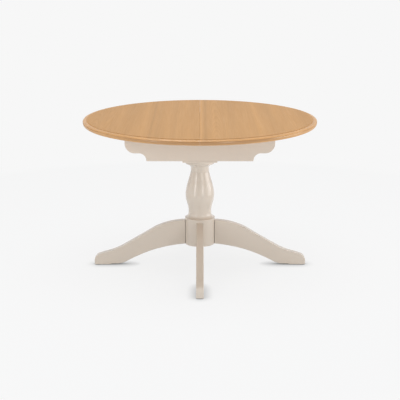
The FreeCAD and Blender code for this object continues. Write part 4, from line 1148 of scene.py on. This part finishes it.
class Glide(Fixing):
    """A hard round glide with a rounded rim and its nail; the collar is its disc."""

    lies = min
    nail = 2 * MM
    disc_sides = 64
    nail_sides = 24
    rim_share = 0.30
    ring_share = 0.55
    groove_share = 0.04
    groove_depth = 0.25
    nail_ease = 0.3

    def build(self) -> Item:
        """Round the rim, sink a ring round the nail's place and add the nail."""
        disc = Bench.bar(self.disc_sides, self.radius, 0.0, self.collar)
        Bench.soften(disc, self.collar * self.rim_share, segments=3)
        Bench.pick(disc, lambda middle, facing: facing.z > 0.99)
        bpy.ops.mesh.inset(thickness=self.radius * self.ring_share, depth=0.0)
        bpy.ops.mesh.inset(thickness=self.radius * self.groove_share,
                           depth=-self.collar * self.groove_depth)
        Bench.close()
        nail = Bench.bar(self.nail_sides, self.nail, self.collar, self.length)
        Bench.soften(nail, self.nail * self.nail_ease)
        return Bench.weld([disc, nail], "glide")


@dataclass
class Fixings:
    """Screws, nuts, dowels, glides and stamped metal, made again with their finer detail."""

    screws: Names
    nuts: Names = ("tie_nuts", "leg_nuts")
    dowels: Names = ("seam_dowels", "leaf_dowels", "column_dowels")
    glides: Names = ("toe_glides",)
    stamped: Names = (
        "lock_plates", "keeper_plates", "lock_lever_front", "lock_lever_back",
        "hinge_plates_upper", "hinge_plates_lower", "leg_washers", "tie_washers",
    )
    stamped_ease = 0.3 * MM
    size_digits = 5
    next_turn = math.radians(37)

    def build(self, finisher: Finisher) -> None:
        """Replace each node of fixings by one piece in the same places."""
        kinds = {Screw: self.screws, Nut: self.nuts, Dowel: self.dowels, Glide: self.glides}
        for kind, nodes in kinds.items():
            for node in nodes:
                self.remake(finisher, node, kind)
        for node in self.stamped:
            piece = Bench.merged(node)
            Bench.soften(piece, self.stamped_ease)
            self.stand_in(finisher, Bench.weld([piece], f"{node}_eased"), node)

    def remake(self, finisher: Finisher, node: str, kind: type[Fixing]) -> None:
        """Model one fixing of each size and set a copy down on every seat of a node.

        Args:
            finisher: Gives the finish.
            node: The CAD node that the piece replaces.
            kind: The fixings that it holds.
        """
        templates: dict[tuple[float, ...], Item] = {}
        copies = []
        for number, solid in enumerate(Bench.islands(node)):
            seat = Seat.of(solid, kind)
            bpy.data.objects.remove(solid)
            sizes = (seat.fixing.length, seat.fixing.radius)
            key = tuple(round(size, self.size_digits) for size in sizes)
            if key not in templates:
                templates[key] = seat.fixing.build()
            copies.append(seat.set_down(templates[key], number * self.next_turn))
        for template in templates.values():
            bpy.data.objects.remove(template)
        self.stand_in(finisher, Bench.weld(copies, f"{node}_made"), node)

    def stand_in(self, finisher: Finisher, piece: Item, node: str) -> None:
        """Let a piece stand for a CAD node, in its finish and on its body."""
        finisher.dress(piece, node, Grain.ALONG_Z)
        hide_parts(node)
        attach(piece, frame["nodes"][node]["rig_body"])
        LOG.info("%s stands for %s with %d faces", piece.name, node, len(piece.data.polygons))


@dataclass(frozen=True)
class Lamp:
    """A soft rectangle of light that faces the table.

    Attributes:
        name: The lamp's name.
        azimuth: Degrees from the front, to the right.
        height: Above the floor.
        distance: From the table's axis.
        size: Width and height of the rectangle.
        power: In watts.
    """

    name: str
    azimuth: float
    height: float
    distance: float
    size: tuple[float, float]
    power: float
    aim = Vector((0.0, 0.0, 0.45))

    def build(self) -> None:
        """Hang the lamp and turn it to the table."""
        angle = math.radians(self.azimuth)
        spot = Vector((math.sin(angle) * self.distance, -math.cos(angle) * self.distance, self.height))
        light = bpy.data.lights.new(self.name, "AREA")
        light.shape = "RECTANGLE"
        light.size, light.size_y = self.size
        light.energy = self.power
        lamp = bpy.data.objects.new(self.name, light)
        lamp.location = spot
        lamp.rotation_euler = (self.aim - spot).to_track_quat("-Z", "Y").to_euler()
        bpy.context.scene.collection.objects.link(lamp)


@dataclass
class Studio:
    """Pale floor, soft light and the camera that stands where the photograph was taken.

    Attributes:
        camera_back: The camera from the middle of the table, towards the front.
        camera_height: The same camera above the floor.
        camera_pitch: How far it looks down.
        focal_pixels: Its focal length in pixels of a frame 400 wide.
        aim_x: Pixels by which the optical axis lies right of the frame's middle.
        aim_y: Pixels by which it lies below it.
        sky_level: Light from all round, where 1 shows a colour as it is written.
        sky_lean: How much of it is moved from the left to the right.
        sky_rise: How much more comes from straight above than from the sides.
        glow_share: Share of the looked-at floor that is the backdrop's own colour.
        shades: How near a thing darkens that share, in metres, and how strongly.
        clear_radius: Where the floor starts to turn into the backdrop.
        fade_radius: Where it is all backdrop.
        lamps: Tall strips in front for the shine, wide boxes at the sides and one above.
    """

    camera_back: float = 5.2202
    camera_height: float = 1.6794
    camera_pitch: float = 0.2520
    focal_pixels: float = 1064.27
    frame_pixels: float = 400.0
    sensor: float = 36.0
    aim_x: float = -0.1
    aim_y: float = 0.5
    backdrop: Colour = srgb(247, 247, 247)
    sky_level: float = 0.20
    sky_lean: float = 0.12
    sky_rise: float = 0.61
    floor_albedo: Colour = (0.94, 0.965, 0.995)
    floor_radius: float = 40.0
    glow_share: float = 0.935
    shades: tuple[tuple[float, float], ...] = ((0.05, 0.62), (0.35, 0.09))
    clear_radius: float = 1.3
    fade_radius: float = 2.6
    lamps: tuple[Lamp, ...] = (
        Lamp("softbox_left", -41.0, height=1.35, distance=3.4, size=(0.4, 2.4), power=24.0),
        Lamp("softbox_right", 25.0, height=0.95, distance=3.8, size=(0.3, 1.6), power=15.0),
        Lamp("softbox_side", 88.0, height=0.8, distance=3.6, size=(2.6, 1.5), power=38.0),
        Lamp("softbox_far_side", -88.0, height=0.8, distance=3.6, size=(2.6, 1.5), power=8.0),
        Lamp("softbox_above", 0.0, height=3.4, distance=0.05, size=(1.7, 1.7), power=32.0),
    )

    def build(self) -> None:
        """Set up everything round the table."""
        scene = bpy.context.scene
        scene.view_settings.view_transform = "Standard"
        self.build_sky(scene)
        self.build_floor()
        for lamp in self.lamps:
            lamp.build()
        self.build_camera(scene)

    def build_sky(self, scene: bpy.types.Scene) -> None:
        """Light from all round, and the pale backdrop where it is looked at."""
        world = bpy.data.worlds.new("studio")
        world.use_nodes = True
        graph = Graph(world.node_tree)
        right, _, up = graph.split(graph.coordinates("Generated"))
        strength = up * self.sky_rise + (right * self.sky_lean + self.sky_level)
        light = graph.add("Background", {"Color": (1.0, 1.0, 1.0), "Strength": strength})
        backdrop = graph.add("Background", {"Color": self.backdrop})
        graph.mix(graph.looked_at(), light, backdrop, graph.add("OutputWorld"))
        scene.world = world

    def build_floor(self) -> None:
        """A wide pale floor that takes the table's shadow and turns into the backdrop."""
        floor = Bench.start("circle", vertices=96, radius=self.floor_radius, fill_type="NGON")
        floor.name = "studio_floor"
        surface = Surface("pale_floor", Grain.ALONG_Y)
        surface.set(Base_Color=self.floor_albedo, Roughness=0.9, Specular_IOR_Level=0.0)
        across, along, _ = surface.split(surface.place)
        far = surface.between(reach(across, along), self.clear_radius, self.fade_radius)
        share = far.or_more(surface.looked_at() * self.glow_share)
        near, wide = (self.shade(surface, *shade) for shade in self.shades)
        glow = surface.add("Emission", {"Color": self.backdrop, "Strength": near * wide})
        surface.mix(share, surface.shader, glow, surface.output)
        Finisher.put(floor, surface.material)
        LOG.info("floor of radius %.0f m", self.floor_radius)

    @staticmethod
    def shade(surface: Surface, distance: float, depth: float) -> Value:
        """Darken the floor where something stands within a distance of it."""
        node = surface.add("AmbientOcclusion", {"Distance": distance}, samples=16)
        return Value(surface, node.outputs["AO"]) ** depth

    def build_camera(self, scene: bpy.types.Scene) -> None:
        """Place the camera and give it the photograph's framing."""
        data = bpy.data.cameras.new("camera")
        data.sensor_width = self.sensor
        data.lens = self.focal_pixels / self.frame_pixels * self.sensor
        data.shift_x = -self.aim_x / self.frame_pixels
        data.shift_y = self.aim_y / self.frame_pixels
        camera = bpy.data.objects.new("camera", data)
        camera.location = (0.0, -self.camera_back, self.camera_height)
        camera.rotation_euler = (math.pi / 2 - self.camera_pitch, 0.0, 0.0)
        scene.collection.objects.link(camera)
        scene.camera = camera


def main() -> None:
    """Dress the table, piece by piece, and set up the studio."""
    logging.basicConfig(level=logging.INFO, format="%(name)s: %(message)s")
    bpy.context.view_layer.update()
    finisher = Finisher(frame["record"])
    for assembly in (Top(), Leaf(), Frame(), Pedestal(), Locks()):
        assembly.dress(finisher)
    screws = tuple(name for name in finisher.slots if "_screws" in name)
    finisher.dress_nodes(screws + ("toe_glides",), Grain.ALONG_Z)
    Fixings(screws).build(finisher)
    Studio().build()
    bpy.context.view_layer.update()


if __name__ == "__main__":
    main()
